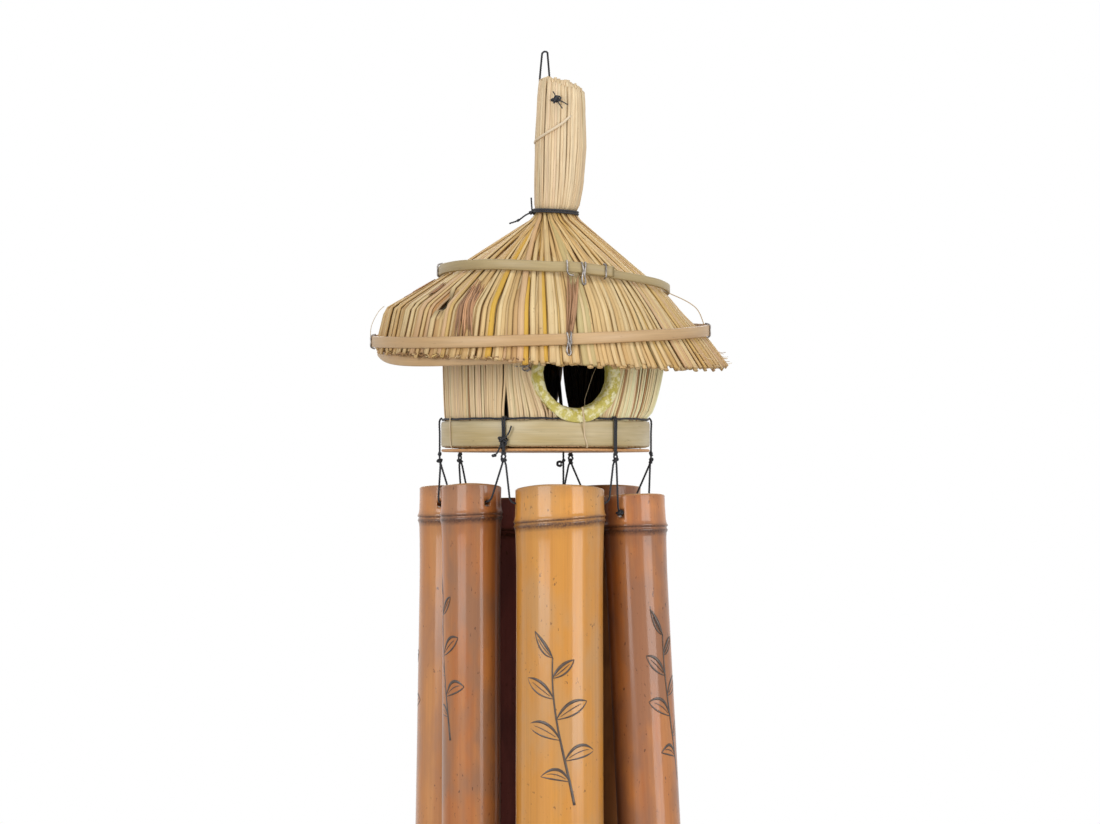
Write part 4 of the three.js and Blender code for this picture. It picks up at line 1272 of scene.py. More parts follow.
def wall_straw(bodies, dice, angle, inset, half, tone, guided=True):
    """An upright straw, led aside by the entrance ring, by the pulled hitch and by the slit at the back."""
    flare = WALL_FLARE + WALL_FLARE_SIDE * facing(angle, LEAN_ANGLE) ** 2
    low = WALL_FOOT + 0.2
    top = float(np.interp(WALL_RADIUS + flare, *underside(angle))) - 0.5
    arc, from_gap, from_slit = (
        math.radians(angle_from(angle, other)) * WALL_RADIUS for other in (0, WALL_GAP_ANGLE, REAR_SLIT)
    )
    led = guided and abs(arc) >= RING_LEAST
    runs = [(low, top)]
    if not led and abs(arc) < RING_SEAT:
        edge = math.sqrt(RING_SEAT**2 - arc**2)
        runs = [(low, ENTRANCE - edge), (ENTRANCE + edge, top)]
    lean = dice.uniform(-1.2, 1.2)
    start = grain_start(dice)
    at_gap = math.copysign(WALL_GAP, from_gap) * max(0.0, 1 - abs(from_gap) / WALL_GAP_REACH)
    at_slit = math.copysign(REAR_SLIT_WIDTH / 2, from_slit) * max(0.0, 1 - abs(from_slit) / REAR_SLIT_REACH)
    for first, last in runs:
        points = []
        for level in np.linspace(first, last, 20):
            share = max(0.0, (level - WALL_BEND) / (top - WALL_BEND))
            shift = lean * share + at_gap * (1 - smoothstep(WALL_BEND, WALL_BEND + WALL_GAP_HEIGHT, level))
            shift += at_slit * max(0.0, 1 - share / REAR_SLIT_SHARE) ** 2
            rise = level - ENTRANCE
            if led and rise > -RING_SEAT and abs(arc) < RING_LED:
                pushed = (RING_SEAT - RING_LEAST) * min((rise + RING_SEAT) / RING_SEAT, 1.0)
                shift += math.copysign(pushed * (RING_LED - abs(arc)) / (RING_LED - RING_LEAST), arc)
            radius = WALL_RADIUS + flare * share**0.5 - inset - half * 0.6
            points.append(ring_point(radius, angle, level, shift))
        outs = np.array([ring_point(1, angle, 0)] * len(points))
        add_strand(bodies, points, outs, half, 0.6 * half, 8, tone, start, edge=0.68)


def wall():
    """Two rings of straws; the inner ones carry painted shade: darker on their outer side, and near black
    where they face the house's inside.
    """
    bodies = Bodies("wall_straws")
    inner = Bodies("wall_inner_straws")
    dice = random.Random(47)
    outer_side = np.array([0, 1, 1, 1, 0, 0, 0, 0], bool)[:, None]
    for k in range(WALL_STRAWS):
        angle = 360 * (k + dice.uniform(-0.25, 0.25)) / WALL_STRAWS
        tone = weathered_tone(dice, 0.12, 0.8, 1.13, 0.4)
        # Painted light: straws on the leaning side are made paler, making up for the shade there under the
        # eave
        tone = np.minimum(tone * (1 + 0.32 * facing(angle, LEAN_ANGLE)), PALEST)
        wall_straw(bodies, dice, angle, dice.uniform(0, 0.5), dice.uniform(0.62, 1.0), tone)
        angle = 360 * (k + 0.5 + dice.uniform(-0.2, 0.2)) / WALL_STRAWS
        parted = abs(angle_from(angle, WALL_GAP_ANGLE)) < 5
        # Painted shade: inner straws are darker on their outer side, and near black on their inner side and
        # behind the pulled hitch
        tone = np.where(outer_side, PAINTED_SHADE_STRAW if parted else LINING_STRAW, PAINTED_SHADE_STRAW)
        wall_straw(inner, dice, angle, 1.3, 1.02, tone, guided=False)
    # A near-black strand at the rear slit, painted shade
    slit = [(-0.6, WALL_FOOT + 1), (0.2, LASHING + 4), (1.8, LASHING + 22), (3.0, LASHING + 40)]
    strand = smooth_line([ring_point(WALL_RADIUS - 1.4, REAR_SLIT, level, side) for side, level in slit], 20)
    add_strand(inner, strand, level_outs(strand), 0.95, 0.6, 8, PAINTED_SHADE_STRAW, grain_start(dice))
    bodies.build(STRAW, "house", [f"wall_panel_{i}" for i in range(1, 8)])
    inner.build(STRAW, "house")


wall()


# Bamboo strips, ring and floor

# A strip's section, as shares of its thickness and height
STRIP_SECTION = [
    (0.12, 0.0),
    (0.75, 0.02),
    (1.0, 0.1),
    (1.0, 0.5),
    (1.0, 0.9),
    (0.75, 0.98),
    (0.12, 1.0),
    (0.0, 0.94),
    (0.0, 0.06),
]
STRIP_STEPS = 240
STRIP_WAVER = 0.16
STRIP_UNEVEN = 0.04
LAP_RISE = 0.6
LAP_SPRING = 0.35
LAP_SPRING_REACH = 9
JOINT_SWELL = 0.18
JOINT_WIDTH = 1.6


def strip(node, material, slot, lap_from, lap, height, thickness, radius_at, foot, seed, nodes=(), slim=0.0):
    """A bent strip with rounded edges and lapped ends, wavering a little; nodes are angles of its joints."""
    bodies = Bodies(f"{node}.strip")
    sweep_angle = 360 + lap
    points, grain, marks = [], [], []
    for turn in np.linspace(0, sweep_angle, STRIP_STEPS + 1):
        angle = lap_from + turn
        a = math.radians(angle)
        radius = radius_at(angle)
        climb = smoothstep(360 - lap, 360 - lap / 4, turn)
        level = foot(angle) + STRIP_WAVER * noise.noise(Vector((3 * a, seed, 0))) + LAP_RISE * climb
        to_end = math.radians(min(turn, sweep_angle - turn)) * radius
        spring = LAP_SPRING * (1 - smoothstep(0, LAP_SPRING_REACH, to_end))
        inner = radius + climb * (thickness + GAP + spring)
        tall = height * (1 + STRIP_UNEVEN * noise.noise(Vector((5 * a, seed, 7))))
        tall *= 1 - slim * (1 - smoothstep(70, 150, turn))
        near = min([math.radians(abs(angle_from(angle, n))) * radius for n in nodes] or [99])
        for out, up in STRIP_SECTION:
            swell = JOINT_SWELL * bell(near, JOINT_WIDTH) if out > 0.5 else 0
            points.append(ring_point(inner + out * thickness + swell, angle, level + up * tall))
            grain.append((out * thickness + seed * 9, up * tall, math.radians(turn) * radius))
            edge = 0.25 if up < 0.05 or up > 0.95 else 0.0
            marks.append(max(edge, 0.5 * bell(near, 0.5), 0.7 * bell(to_end, 0.5)))
    bodies.add(points, grid_faces(STRIP_STEPS + 1, len(STRIP_SECTION), "caps"), grain, mark=marks)
    bodies.build(material, "house", [node])


def hoop_strip(node, material, slot, hoop, lap, seed, nodes, slim=0.0):
    strip(
        node,
        material,
        slot,
        hoop["lap_from"],
        lap,
        hoop["height"],
        STRIP_THICKNESS,
        lambda angle: hoop_radius(hoop, angle),
        lambda angle: hoop_foot(hoop, angle),
        seed,
        nodes,
        slim,
    )


hoop_strip("upper_hoop", OLIVE, "olive_bamboo", UPPER_HOOP, UPPER_HOOP_LAP_SHOWN, 1, (120, 230), 0.2)
hoop_strip("lower_hoop", TAN, "tan_bamboo", LOWER_HOOP, LOWER_HOOP["lap"], 2, (100, 150, 235))


def eave_liner():
    """The strip inside the eave, raised where the straws fold."""

    def foot(angle):
        raised = 4.8 * bell(angle_from(angle, FOLD_ANGLE), 20)
        return hoop_foot(LOWER_HOOP, angle) - EAVE_LINER_DROP - 1.5 * facing(angle, FOLD_ANGLE) + raised

    def inner(angle):
        radii, levels = underside(angle)
        top = foot(angle) + EAVE_LINER_HEIGHT
        thin = 4.6 * facing(angle, FOLD_ANGLE) ** 2
        return float(np.interp(-top, -levels, radii)) - 2 * LINER_THICKNESS - 2 * GAP + thin

    lap_from, lap = LOWER_HOOP["lap_from"], LOWER_HOOP["lap"]
    size = EAVE_LINER_HEIGHT, LINER_THICKNESS
    strip("eave_liner", TAN, "tan_bamboo", lap_from, lap, *size, inner, foot, 3)


eave_liner()
strip(
    "base_band",
    KHAKI,
    "olive_bamboo",
    tube_angle(3),
    BAND_LAP,
    BAND_HEIGHT + BAND_DROOP,
    STRIP_THICKNESS,
    lambda angle: BAND_RADIUS,
    lambda angle: BAND_FOOT - BAND_DROOP,
    4,
    (70, 250),
)


def add_turned(bodies, profile, segments, seed, wobble, flip=False):
    """A body turned round Z from a closed profile of (radius, z) points that stays off the axis."""
    points = []
    for radius, z in profile:
        for a in turns(segments):
            x, y = math.cos(a), math.sin(a)
            r = radius + wobble * noise.noise(Vector((2 * x, 2 * y, seed + 0.1 * z)))
            points.append((r * x, r * y, z))
    bodies.add(points, grid_faces(len(profile), segments, "ring", flip), points)


for node in ("wall_top_liner", "wall_base_liner"):
    low, high = (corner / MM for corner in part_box(node))
    outer = high.x - 0.05
    inner = outer - LINER_THICKNESS
    bodies = Bodies(f"{node}.hoop")
    add_turned(bodies, [(inner, low.z), (outer, low.z), (outer, high.z), (inner, high.z)], 128, 3, 0.1)
    bodies.build(TAN, "house", [node])


FLOOR_HOLE = 1.6
FLOOR_INSET = 1.0
FLOOR_SUNK = 0.3
FLOOR_ROD_SHARE = 0.36


def floor_disc():
    """A board floor with a hole for the middle cord and a round split-rattan rim."""
    bodies = Bodies("floor.board")
    segments = 120
    circle = np.stack([np.cos(turns(segments)), np.sin(turns(segments))], axis=1)
    eye = MIDDLE[:2] + FLOOR_HOLE * circle
    rim = (BAND_OUTER - FLOOR_INSET) * circle
    face = [eye + (rim - eye) * share for share in (0.0, 0.25, 0.6, 1.0)]
    rows = [(row, FLOOR_TOP - FLOOR_SUNK) for row in face]
    rows += [(row, FLOOR_BOTTOM + FLOOR_SUNK) for row in face[::-1]]
    points = np.concatenate([np.column_stack([row, np.full(segments, z)]) for row, z in rows])
    bodies.add(points, grid_faces(len(rows), segments, "ring", flip=True), points)
    half = FLOOR_ROD_SHARE * (FLOOR_TOP - FLOOR_BOTTOM)
    middle = (FLOOR_TOP + FLOOR_BOTTOM) / 2
    rod = [(BAND_OUTER - half + half * math.cos(a), middle + half * math.sin(a)) for a in turns(10)]
    add_turned(bodies, rod, 160, 2, 0.35)
    bodies.build(BOARD, "house", ["floor"])


floor_disc()


BARK_LUMP = 0.3
BARK_FINE_LUMP = 0.25
BARK_WRAPS = 11
BARK_FOLD = 0.2


def entrance_ring():
    """Bark wound round a hoop: lumpy, with overlapping wraps and a lip over the band's top edge."""
    bodies = Bodies("entrance_ring.bark")
    around, columns = 150, 32
    middle = (RING_OUTER + RING_INNER) / 2 + 0.65
    half = (RING_OUTER - RING_INNER) / 2 - 0.5
    depth = RING_DEPTH / 2
    points = []
    for a in turns(around):
        below = max(0.0, -math.cos(a)) ** 2
        for b in turns(columns):
            c, s = math.cos(b), math.sin(b)
            reach = half * math.copysign(abs(c) ** 0.75, c)
            deep = depth * math.copysign(abs(s) ** 0.6, s)
            place = Vector((6 * math.cos(a), 6 * math.sin(a), 1.4 * b))
            lump = BARK_LUMP * noise.noise(place) + BARK_FINE_LUMP * noise.noise(place * 2.7)
            fold = BARK_FOLD * max(0.0, math.sin(BARK_WRAPS * a + 1.2 * s)) ** 6
            shown = smoothstep(0.5, 0.72, -s)
            proud = shown * (1 - smoothstep(0.93, 1.0, -s)) * (0.3 + 0.8 * math.sin(a) + 2.6 * below)
            lip = proud - (1 - shown) * 0.9 * below * c if c > 0 else 0.0
            r = middle + reach * (1 + (lump - 0.1 - fold) / half) + lip
            y = -RING_FRONT + depth + deep * (1 + 0.03 * lump)
            points.append((0.25 + r * math.sin(a), y, ENTRANCE - 0.9 + r * math.cos(a)))
    bodies.add(points, grid_faces(around, columns, "ring"), points)
    bodies.build(BARK, "house", ["entrance_ring"])


entrance_ring()


# Tubes, with a brushed leaf spray on each outward side

# Pale, deep and dull skin of each tube, and its gloss
TUBE_COLOURS = [
    (rgb(209, 144, 58), rgb(199, 132, 44), rgb(193, 141, 80), 0.66),
    (rgb(188, 122, 66), rgb(172, 100, 42), rgb(146, 97, 66), 0.6),
    (rgb(176, 118, 70), rgb(154, 94, 50), rgb(118, 76, 50), 0.6),
    # The fourth tube, behind the others, is given darker colours as painted shade for its place in their
    # shadow
    (rgb(160, 92, 82), rgb(142, 77, 69), rgb(126, 73, 67), 0.1),
    (rgb(203, 138, 76), rgb(190, 120, 56), rgb(174, 118, 76), 0.8),
    (rgb(184, 117, 58), rgb(169, 96, 39), rgb(145, 101, 70), 0.6),
]

# How far the slanted cut at each rim rises towards the camera's side, and how far each node tilts
RIM_RISE = [2.8, 0.9, 1.2, 1.0, 1.2, 1.8]
NODE_TILT = [4.4, -1.5, 3, -2, 1.5, 2.5]

# How much paler each tube is above its node
UPPER_PALER = [0.1, 0.3, 0.3, 0.0, 0.1, 0.26]

# The node's ridges: height over the skin, level from the node, brown mark
NODE_ROWS = [
    (0.05, 4.2, 0.0),
    (0.45, 2.2, 0.15),
    (0.95, 1.3, 0.6),
    (0.85, 0.8, 0.9),
    (0.35, 0.45, 0.8),
    (0.3, -0.1, 0.4),
    (0.6, -0.7, 0.7),
    (0.8, -1.2, 1.0),
    (0.55, -1.8, 1.0),
    (0.15, -2.6, 0.7),
    (-0.1, -4.5, 0.12),
]
WAIST = 0.6
WAIST_DEPTH = 34
DIAPHRAGM = 2.0
TUBE_SEGMENTS = 96
TUBE_OVAL = 0.012
TUBE_UNEVEN = 0.006
RIM_UNEVEN = 0.3
RIM_TURN = 0.6
FOOT_UNEVEN = 0.2
# Painted shade inside the cup and at the diaphragms
INSIDE_SHADE = 0.4
# Painted shade on each tube's side that faces in towards the other tubes
INWARD_SHADE = 0.62


def tube_rows(number):
    """Rings of a tube from its cup over the rim, down the skin and up the bore to the diaphragm: radius,
    z, mark, cut, share of the node's tilt, which is None inside the closed ends of the bore."""
    radius, length, _, node_depth, _ = TUBES[number]
    bore = radius - TUBE_WALL
    node = TUBE_RIM - node_depth
    foot = TUBE_RIM - length
    waist = node - WAIST_DEPTH
    rows = [
        (bore * 0.5, node + DIAPHRAGM - 0.8, 0.3, 0.8, None),
        (bore - 1.0, node + DIAPHRAGM, 0.3, 0.8, None),
        (bore, node + DIAPHRAGM + 1.2, 0.2, 0.9, None),
        (bore, TUBE_RIM - 2.5, 0.1, 0.9, None),
        (bore + 0.5, TUBE_RIM - 0.1, 0.0, 1.0, 0.0),
        (radius - 0.9, TUBE_RIM, 0.0, 1.0, 0.0),
        (radius - 0.25, TUBE_RIM - 0.25, 0.5, 0.5, 0.0),
        (radius, TUBE_RIM - 0.9, 0.25, 0.0, 0.0),
        (radius - 0.1, TUBE_RIM - 0.5 * node_depth + 2, 0.0, 0.0, 0.3),
    ]
    rows += [(radius + proud, node + level, mark, 0.0, 1.0) for proud, level, mark in NODE_ROWS]
    rows += [
        (radius - 0.3, node - 10, 0.0, 0.0, 0.5),
        (radius - 0.55, node - 22, 0.0, 0.0, 0.0),
        (radius - WAIST, waist, 0.0, 0.0, 0.0),
    ]
    for share in np.linspace(0.12, 0.95, 14):
        rows.append((radius - WAIST * (1 - share), waist + (foot - waist) * share, 0.0, 0.0, 0.0))
    rows += [
        (radius - 0.1, foot + 0.6, 0.0, 0.2, 0.0),
        (radius - 0.6, foot, 0.1, 1.0, 0.0),
        (bore + 0.4, foot, 0.0, 1.0, 0.0),
        (bore, foot + 0.5, 0.0, 0.9, 0.0),
        (bore, foot + 30, 0.1, 0.8, 0.0),
        (bore, node - 12, 0.2, 0.7, 0.0),
        (bore - 0.4, node - 2, 0.3, 0.7, 0.0),
        (bore - 0.4, node - DIAPHRAGM, 0.3, 0.8, None),
        (bore * 0.5, node - DIAPHRAGM - 0.6, 0.3, 0.8, None),
    ]
    return rows, node, foot


def lean_matrix(number):
    return Matrix.Rotation(math.radians(TUBES[number][4]), 4, "X")


def tube_body(bodies, number):
    """A tube that is slightly oval, with a tilted node, an uneven rim and a slanted lower end."""
    radius = TUBES[number][0]
    rows, node, foot = tube_rows(number)
    slant = math.tan(math.radians(TUBE_SLANT))
    tilt = math.tan(math.radians(NODE_TILT[number]))
    tilt_turn = math.radians(VIEW_AZIMUTH - tube_angle(number)) + math.pi
    seed = 10.0 * number
    lean = lean_matrix(number)
    points, grain, marks, cuts, shades_and_tones = [], [], [], [], []
    for r, z, mark, cut, follow in rows:
        paler = 1 + UPPER_PALER[number] * smoothstep(node, node + 3, z)
        for a in turns(TUBE_SEGMENTS):
            x, y = math.cos(a), math.sin(a)
            oval, level, shade_and_tone = 1.0, z, INSIDE_SHADE
            if follow is not None:
                oval += TUBE_OVAL * math.cos(2 * a + number)
                oval += TUBE_UNEVEN * noise.noise(Vector((2 * x, 2 * y, seed + z * 0.02)))
                level += follow * tilt * r * math.cos(a - tilt_turn)
                facing_view = -math.sin(a - tilt_turn) * r / radius
                uneven = RIM_UNEVEN * noise.noise(Vector((x, y, seed)))
                uneven += RIM_RISE[number] * (facing_view - RIM_TURN)
                level += smoothstep(TUBE_RIM - 3, TUBE_RIM, z) * uneven
                if z < foot + CUT_BLEND:
                    rise = slant * (r * y + radius)
                    rise += FOOT_UNEVEN * noise.noise(Vector((3 * x, 3 * y, seed)))
                    level = z + rise * (1 - (z - foot) / CUT_BLEND)
                # Painted shade on the side that faces in towards the other tubes, times a paler tone above
                # the node
                shade_and_tone = (1 - INWARD_SHADE * smoothstep(0.05, 0.95, -y)) * paler
                mark_here = mark * (1.1 + 0.4 * noise.noise(Vector((3 * x, 3 * y, seed + z))))
            else:
                mark_here = mark
            points.append(lean @ Vector((r * x * oval, r * y * oval, level)))
            grain.append((r * x + 50 * number, r * y, z))
            marks.append(mark_here)
            cuts.append(cut)
            shades_and_tones.append((shade_and_tone,))
    faces = grid_faces(len(rows), TUBE_SEGMENTS, "caps", flip=True)
    bodies.add(points, faces, grain, shades_and_tones, np.clip(marks, 0, 1), cuts)


DRILL_SIDES = 24


def drill(piece, radius, reach, place):
    """Cuts a round hole through a piece; place takes the drill, along X, into the piece's frame."""
    mesh = bpy.data.meshes.new("drill")
    circle = [(radius * math.cos(a), radius * math.sin(a)) for a in turns(DRILL_SIDES)]
    points = [Vector((x, y, z)) * MM for x in (-reach, reach) for y, z in circle]
    mesh.from_pydata(points, [], grid_faces(2, DRILL_SIDES, "caps"))
    tool = bpy.data.objects.new("drill", mesh)
    bpy.context.scene.collection.objects.link(tool)
    tool.matrix_world = piece.matrix_world @ place
    cutter = piece.modifiers.new("holes", "BOOLEAN")
    cutter.object = tool
    cutter.solver = "EXACT"
    bpy.context.view_layer.update()
    evaluated = piece.evaluated_get(bpy.context.evaluated_depsgraph_get())
    drilled = bpy.data.meshes.new_from_object(evaluated)
    piece.modifiers.clear()
    piece.data = drilled
    bpy.data.objects.remove(tool)


def tube(number):
    bodies = Bodies(f"tube_{number + 1}.culm")
    tube_body(bodies, number)
    material = culm_material(f"culm_{number + 1}", *TUBE_COLOURS[number])
    body, node = f"chime_{number + 1}", f"tube_{number + 1}"
    piece = bodies.build(material, body, [node], tube_matrix(number))
    place = lean_matrix(number) @ Matrix.Translation((0, 0, TUBE_HOLE * MM))
    drill(piece, TUBE_HOLE_RADIUS, TUBES[number][0] + 8, place)


for i in range(6):
    tube(i)


def tube_surface(number, around, level):
    """A point on a tube's skin: distance round from the outward line and level, in the tube's own frame."""
    radius, _, _, node_depth, _ = TUBES[number]
    waist = WAIST * smoothstep(0, WAIST_DEPTH, TUBE_RIM - node_depth - level)
    a = math.pi / 2 - around / radius
    normal = np.array([math.cos(a), math.sin(a), 0.0])
    place = lean_matrix(number) @ Vector(normal * (radius - waist * 0.9) + [0, 0, level])
    return np.array(place), normal


def add_stroke(bodies, number, line, widths, dice):
    """A brush stroke laid on a tube: a thin closed ribbon that swells and tapers."""
    places, normals = zip(*(tube_surface(number, around, level) for around, level in line))
    points = np.array(places) + 0.02 * np.array(normals)
    add_strand(bodies, points, np.array(normals), widths, 0.14, 8, INK, grain_start(dice))


# The leaf spray: height, sway of the stem, drop below each rim, and leaves as (place on the stem, side,
# length, droop)
SPRAY_HEIGHT = 74
SPRAY_SWAY = 0.22
SPRAY_DROPS = [86, 72, 60, 70, 64, 56]
LEAVES = [
    (0.16, 1, 20, 0.5),
    (0.30, -1, 23, 0.4),
    (0.44, 1, 24, 0.3),
    (0.58, -1, 22, 0.2),
    (0.72, 1, 20, 0.1),
    (0.86, -1, 15, 0.0),
    (1.00, 1, 13, -0.4),
]


def leaf_spray(number):
    """A swaying stem with leaves in outline, each with a short vein."""
    width = 1.5 * TUBES[number][0]
    foot = TUBE_RIM - SPRAY_DROPS[number] - SPRAY_HEIGHT
    dice = random.Random(60 + number)
    bodies = Bodies(f"leaf_spray_{number + 1}")

    def stem_at(share):
        return np.array([width * SPRAY_SWAY * math.sin(2.4 * share - 0.6), foot + SPRAY_HEIGHT * share])

    shares = np.linspace(0, 1, 40)
    add_stroke(bodies, number, [stem_at(s) for s in shares], 0.75 - 0.45 * shares, dice)
    t = np.linspace(0, 1, 26)[:, None]
    swell = np.sin(math.pi * t[:, 0]) ** 0.8
    for share, side, length, droop in LEAVES:
        start = stem_at(share)
        reach = side * length * width / 36
        end = start + [reach * 0.82, length * (0.62 - droop)]
        upper = bent(start, start + [reach * 0.30, length * 0.55], end, t)
        lower = bent(start, start + [reach * 0.62, length * 0.08], end, t)
        add_stroke(bodies, number, upper, 0.16 + 0.62 * swell, dice)
        add_stroke(bodies, number, lower, 0.14 + 0.30 * swell, dice)
        vein = ((upper + lower) / 2)[3:20]
        add_stroke(bodies, number, vein, 0.13 + 0.12 * np.sin(np.linspace(0, math.pi, len(vein))), dice)
    bodies.build(BRUSHED, f"chime_{number + 1}", (), tube_matrix(number))


for i in range(6):
    leaf_spray(i)


# Striker and sail


def striker():
    """A bored disc of coconut shell with a rounded edge."""
    bodies = Bodies("striker.shell")
    half = STRIKER_THICKNESS / 2
    hole = CORD + GAP
    profile = [(hole, half - 0.4), (hole + 0.5, half)]
    for a in np.linspace(90, -90, 13):
        level = (half - STRIKER_ROUND) * np.sign(a) + STRIKER_ROUND * math.sin(math.radians(a))
        profile.append((STRIKER_RADIUS - STRIKER_ROUND * (1 - math.cos(math.radians(a))), level))
    profile += [(hole + 0.5, -half), (hole, -half + 0.4)]
    add_turned(bodies, profile, 72, 4, 0.2, flip=True)
    place = Matrix.Translation((MIDDLE + [0, 0, STRIKER_LEVEL]) * MM)
    bodies.build(SHELL, "striker", ["striker"], place)


def sail():
    """A dished round of coconut shell with a hole near its top edge."""
    bodies = Bodies("sail.shell")
    sphere = (SAIL_RADIUS**2 + SAIL_DISH**2) / (2 * SAIL_DISH)
    rings, segments = 14, 84
    shares = np.linspace(0.03, 1, rings)
    points = []
    for face, share in [*((1, s) for s in shares), *((-1, s) for s in shares[::-1])]:
        edge = smoothstep(0.9, 1.0, share)
        r = sphere + face * SAIL_THICKNESS / 2 * (1 - 0.75 * edge**3)
        b = math.asin(SAIL_RADIUS / sphere) * share
        for a in turns(segments):
            x, z = math.cos(a), math.sin(a)
            flat = r * math.sin(b) * (1 + 0.012 * edge * noise.noise(Vector((2 * x, 2 * z, 3))))
            points.append((flat * x, sphere - SAIL_DISH - r * math.cos(b), flat * z))
    bodies.add(points, grid_faces(2 * rings, segments, "caps"), points)
    hole = SAIL_RADIUS - SAIL_HOLE_DEPTH
    place = Matrix.Translation((MIDDLE + [0, 0, SAIL_HOLE - hole]) * MM)
    piece = bodies.build(SHELL, "sail", ["sail"], place)
    across = Matrix.Rotation(math.pi / 2, 4, "Z")
    drill(piece, SAIL_HOLE_RADIUS, SAIL_RADIUS, Matrix.Translation((0, 0, hole * MM)) @ across)


striker()
sail()


# Fine wires, stitches and stray threads

# Wires on a hoop's face: sideways, level above the hoop's foot, proud of the hoop
STAPLE = [
    (0, 6.4, -2.0),
    (0, 6.0, 0.1),
    (0.1, 3.0, 0.45),
    (0.2, 0.4, 0.4),
    (1.6, -0.9, 0.2),
    (3.4, -1.0, -0.5),
]
PLAIN = [(0, 6.6, -2.2), (0, 5.8, 0.2), (0, 3.0, 0.4), (0, 0.2, 0.3), (0, -0.9, -1.6)]
TWIST = [
    (0, 6.2, -1.6),
    (0, 5.6, 0.4),
    (0.5, 2.0, 0.7),
    (-0.3, -2.6, 1.0),
    (0.6, -5.2, 1.0),
    (1.7, -4.0, 0.9),
    (1.2, 0.0, 0.9),
    (1.9, 5.4, 0.5),
    (1.9, 6.2, -1.4),
]
UPPER_WIRES = [(11, STAPLE), (18.5, TWIST), (30.5, PLAIN), (-55, PLAIN)]
LOWER_WIRES = [(11, TWIST), (13, PLAIN), (-89.2, PLAIN), (84.2, PLAIN)]
WIRE_RADIUS = 0.45

# Wires at the sides of the entrance ring: angle, level and distance from the wall
RING_WIRES = [
    [(-36, -163.2, 0.4), (-31, -163.4, 0.9), (-27.5, -163.0, 1.5), (-25, -164.6, 2.6), (-27, -166, 2.0)],
    [(-25, -164.6, 2.8), (-28, -165.6, 1.4), (-29.5, -164.2, 1.2), (-25.5, -162.8, 2.8)],
    [(41, -165.6, 0.5), (36, -165.2, 1.0), (31.5, -166.2, 1.6), (28.5, -168.2, 2.6), (31, -169.2, 2.0)],
    [(28.5, -168.2, 2.6), (33.5, -167.6, 1.4), (34, -166, 1.4), (27.5, -165.6, 3.0)],
]
RING_WIRE_RADIUS = 0.34
RING_WIRE_TONE = (0.6, 0.6, 0.6)


def near_angle(radius_at, across):
    """The angle on the camera's side at which a ring lies so far to the right of the axis."""
    low, high = -90 + VIEW_AZIMUTH, 90 + VIEW_AZIMUTH
    for _ in range(40):
        middle = (low + high) / 2
        if radius_at(middle) * math.sin(math.radians(middle - VIEW_AZIMUTH)) < across:
            low = middle
        else:
            high = middle
    return (low + high) / 2


def add_thread(bodies, line, count, radius, tone=PLAIN_TONE, start=(0, 0, 0)):
    add_strand(bodies, smooth_line(line, count), None, radius, radius, 6, tone, start)


def hoop_wire(bodies, hoop, across, shape):
    def outer(angle):
        turn = angle_from(angle, hoop["lap_from"])
        climb = smoothstep(-hoop["lap"], -hoop["lap"] / 4, turn) * (turn < hoop["lap"])
        return hoop_radius(hoop, angle) + STRIP_THICKNESS + 1.8 * climb

    angle = near_angle(outer, across)
    radius, foot = outer(angle), hoop_foot(hoop, angle)
    line = [ring_point(radius + proud, angle, foot + level, side) for side, level, proud in shape]
    add_thread(bodies, line, 10 * len(line), WIRE_RADIUS, start=(across, 0, 0))


def wires():
    bodies = Bodies("hoop_wires")
    for hoop, places in ((UPPER_HOOP, UPPER_WIRES), (LOWER_HOOP, LOWER_WIRES)):
        for across, shape in places:
            hoop_wire(bodies, hoop, across, shape)
    for wire in RING_WIRES:
        line = [ring_point(WALL_RADIUS + out, angle, level) for angle, level, out in wire]
        add_thread(bodies, line, 50, RING_WIRE_RADIUS, RING_WIRE_TONE)
    bodies.build(WIRE, "house")


wires()

# Stitches over the band: angle, lean, rise above the band; the high one comes down from the entrance ring
STITCHES = [(-81, 1.2, 2.2), (4.6, 3.4, 6.5), (96, -1.0, 2.2), (172, 0.8, 2.2)]
HIGH_STITCH = 5
STITCH_SIZE = (0.42, 0.28)


def stitches():
    """Split-rattan stitches over the band."""
    bodies = Bodies("band_stitches")
    for angle, lean, rise in STITCHES:
        front = RING_FRONT - BAND_OUTER if rise > HIGH_STITCH else 0
        shape = [
            (front - 0.2, BAND_TOP + rise, -0.5),
            (front + 0.35, BAND_TOP + 0.4, -0.3),
            (0.35, BAND_FOOT + 5, 0),
            (0.35, BAND_FOOT + 0.2, 0.4),
            (-0.6, BAND_FOOT - 1.8, 0.5),
        ]
        points = [ring_point(BAND_OUTER + out, angle, z, lean * side) for out, z, side in shape]
        line = smooth_line(points, 40)
        add_strand(bodies, line, level_outs(line), *STITCH_SIZE, 8, PLAIN_TONE, [angle, 0, 0])
    bodies.build(STITCH, "house")


# Loose ends of binding at both hoops, as (right of the axis, level, towards the camera), and a thread
# across the entrance
BINDINGS = [
    ([(63, -124, 3), (72.9, -128.6, 3), (78.6, -133.2, 3), (82.0, -141, 1)], 0.28),
    ([(-90.2, -148, 2), (-89.5, -141, 3), (-86, -134, 3), (-83, -131, 2)], 0.16),
]
ENTRANCE_THREAD = [
    (12, -50, -163),
    (9.2, -51, -168.5),
    (7.2, -51.5, -174),
    (5.2, -51.5, -180),
    (4.9, -53, -186),
]
ENTRANCE_THREAD_RADIUS = 0.07
EAVE_FIBRES = 16
EAVE_FIBRE_RADIUS = 0.14


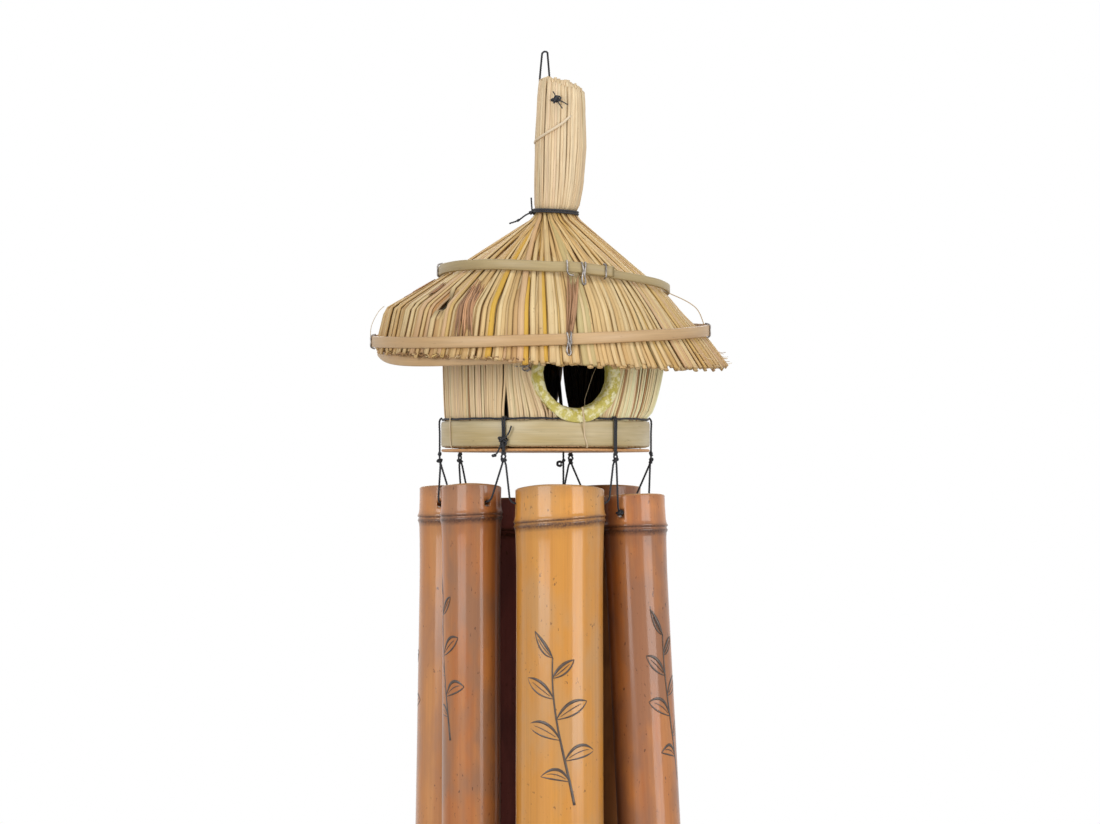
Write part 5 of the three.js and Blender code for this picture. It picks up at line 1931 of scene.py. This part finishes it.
def stray_threads():
    """Loose binding, a thread across the entrance and fibres at the leaning side of the eave."""
    bodies = Bodies("stray_threads")
    right, back = view_axes()
    near = level_outs(back)
    for places, radius in BINDINGS:
        line = [right * across + near * towards + [0, 0, level] for across, level, towards in places]
        add_thread(bodies, line, 24, radius)
    add_thread(bodies, ENTRANCE_THREAD, 24, ENTRANCE_THREAD_RADIUS)
    dice = random.Random(83)
    for _ in range(EAVE_FIBRES):
        angle = dice.uniform(40, 100)
        radius, level = straw_line(angle)[-1]
        reach, rise = dice.uniform(0.5, 2.5), dice.uniform(0, 7)
        radius -= 0.6 * rise
        level += rise
        line = [ring_point(radius - 2.5, angle, level + 1)]
        line.append(ring_point(radius + 0.4, angle, level, dice.uniform(-1, 1)))
        line.append(ring_point(radius + reach, angle, level - dice.uniform(-0.6, 1.2), dice.uniform(-3, 3)))
        add_thread(bodies, line, 12, EAVE_FIBRE_RADIUS, start=grain_start(dice))
    bodies.build(STITCH, "house")


stitches()
stray_threads()


# Light, background and floor

FLOOR_BELOW = 0.05
FLOOR_SIZE = 1.3
SURROUND_LIGHT = 0.22


def soft_box(name, turn, rise, distance, width, height, power):
    """A soft lamp that faces the chime; turn is counted from the camera's side, to its right."""
    a, e = math.radians(VIEW_AZIMUTH + turn), math.radians(rise)
    away = Vector((math.sin(a) * math.cos(e), -math.cos(a) * math.cos(e), math.sin(e)))
    lamp = bpy.data.objects.new(name, bpy.data.lights.new(name, "AREA"))
    bpy.context.scene.collection.objects.link(lamp)
    lamp.location = Vector((0, 0, VIEW_LEVEL * MM)) + away * distance
    lamp.rotation_euler = (-away).to_track_quat("-Z", "Y").to_euler()
    lamp.data.shape = "RECTANGLE"
    lamp.data.size = width
    lamp.data.size_y = height
    lamp.data.energy = power


soft_box("left_box", -39, 11, 1.7, 1.0, 1.0, 14)
soft_box("right_box", 47.5, 7, 1.7, 0.95, 1.0, 13.5)
soft_box("top_box", 10, 65, 1.6, 1.0, 1.0, 9)
soft_box("back_box", 180, 25, 1.9, 1.2, 1.2, 9)


def white_surround():
    """Even light all round, and plain white where the camera or a gloss sees past the chime."""
    world = bpy.data.worlds.new("surround")
    bpy.context.scene.world = world
    world.use_nodes = True
    tree = world.node_tree
    path = tree.nodes.new("ShaderNodeLightPath")
    seen = path.outputs["Is Camera Ray"]
    for name in ("Is Glossy Ray", "Is Transmission Ray"):
        either = tree.nodes.new("ShaderNodeMath")
        either.operation = "MAXIMUM"
        tree.links.new(seen, either.inputs[0])
        tree.links.new(path.outputs[name], either.inputs[1])
        seen = either.outputs[0]
    level = tree.nodes.new("ShaderNodeMapRange")
    level.inputs["To Min"].default_value = SURROUND_LIGHT
    level.inputs["To Max"].default_value = 1.0
    tree.links.new(seen, level.inputs["Value"])
    background = tree.nodes["Background"]
    background.inputs["Color"].default_value = (1, 1, 1, 1)
    tree.links.new(level.outputs["Result"], background.inputs["Strength"])


def pale_floor():
    """A round pale floor well below the hanging chime."""
    shader = Shader("pale_floor")
    cloud = shader.noise(shader.node("TexCoord").outputs["Object"], 3.0, 2.0)
    shader.surface(Base_Color=shader.ramp(cloud, (0.3, 0.82), (0.7, 0.86)), Roughness=0.85)
    mesh = bpy.data.meshes.new("pale_floor")
    ring = [(FLOOR_SIZE * math.cos(a), FLOOR_SIZE * math.sin(a), 0) for a in turns(96)]
    mesh.from_pydata(ring, [], [list(range(len(ring)))])
    mesh.materials.append(shader.material)
    floor = bpy.data.objects.new("pale_floor", mesh)
    floor.location = (0, 0, cad_box[0].z - FLOOR_BELOW)
    bpy.context.scene.collection.objects.link(floor)


white_surround()
pale_floor()

bpy.context.scene.view_settings.view_transform = "Standard"

bpy.context.view_layer.update()
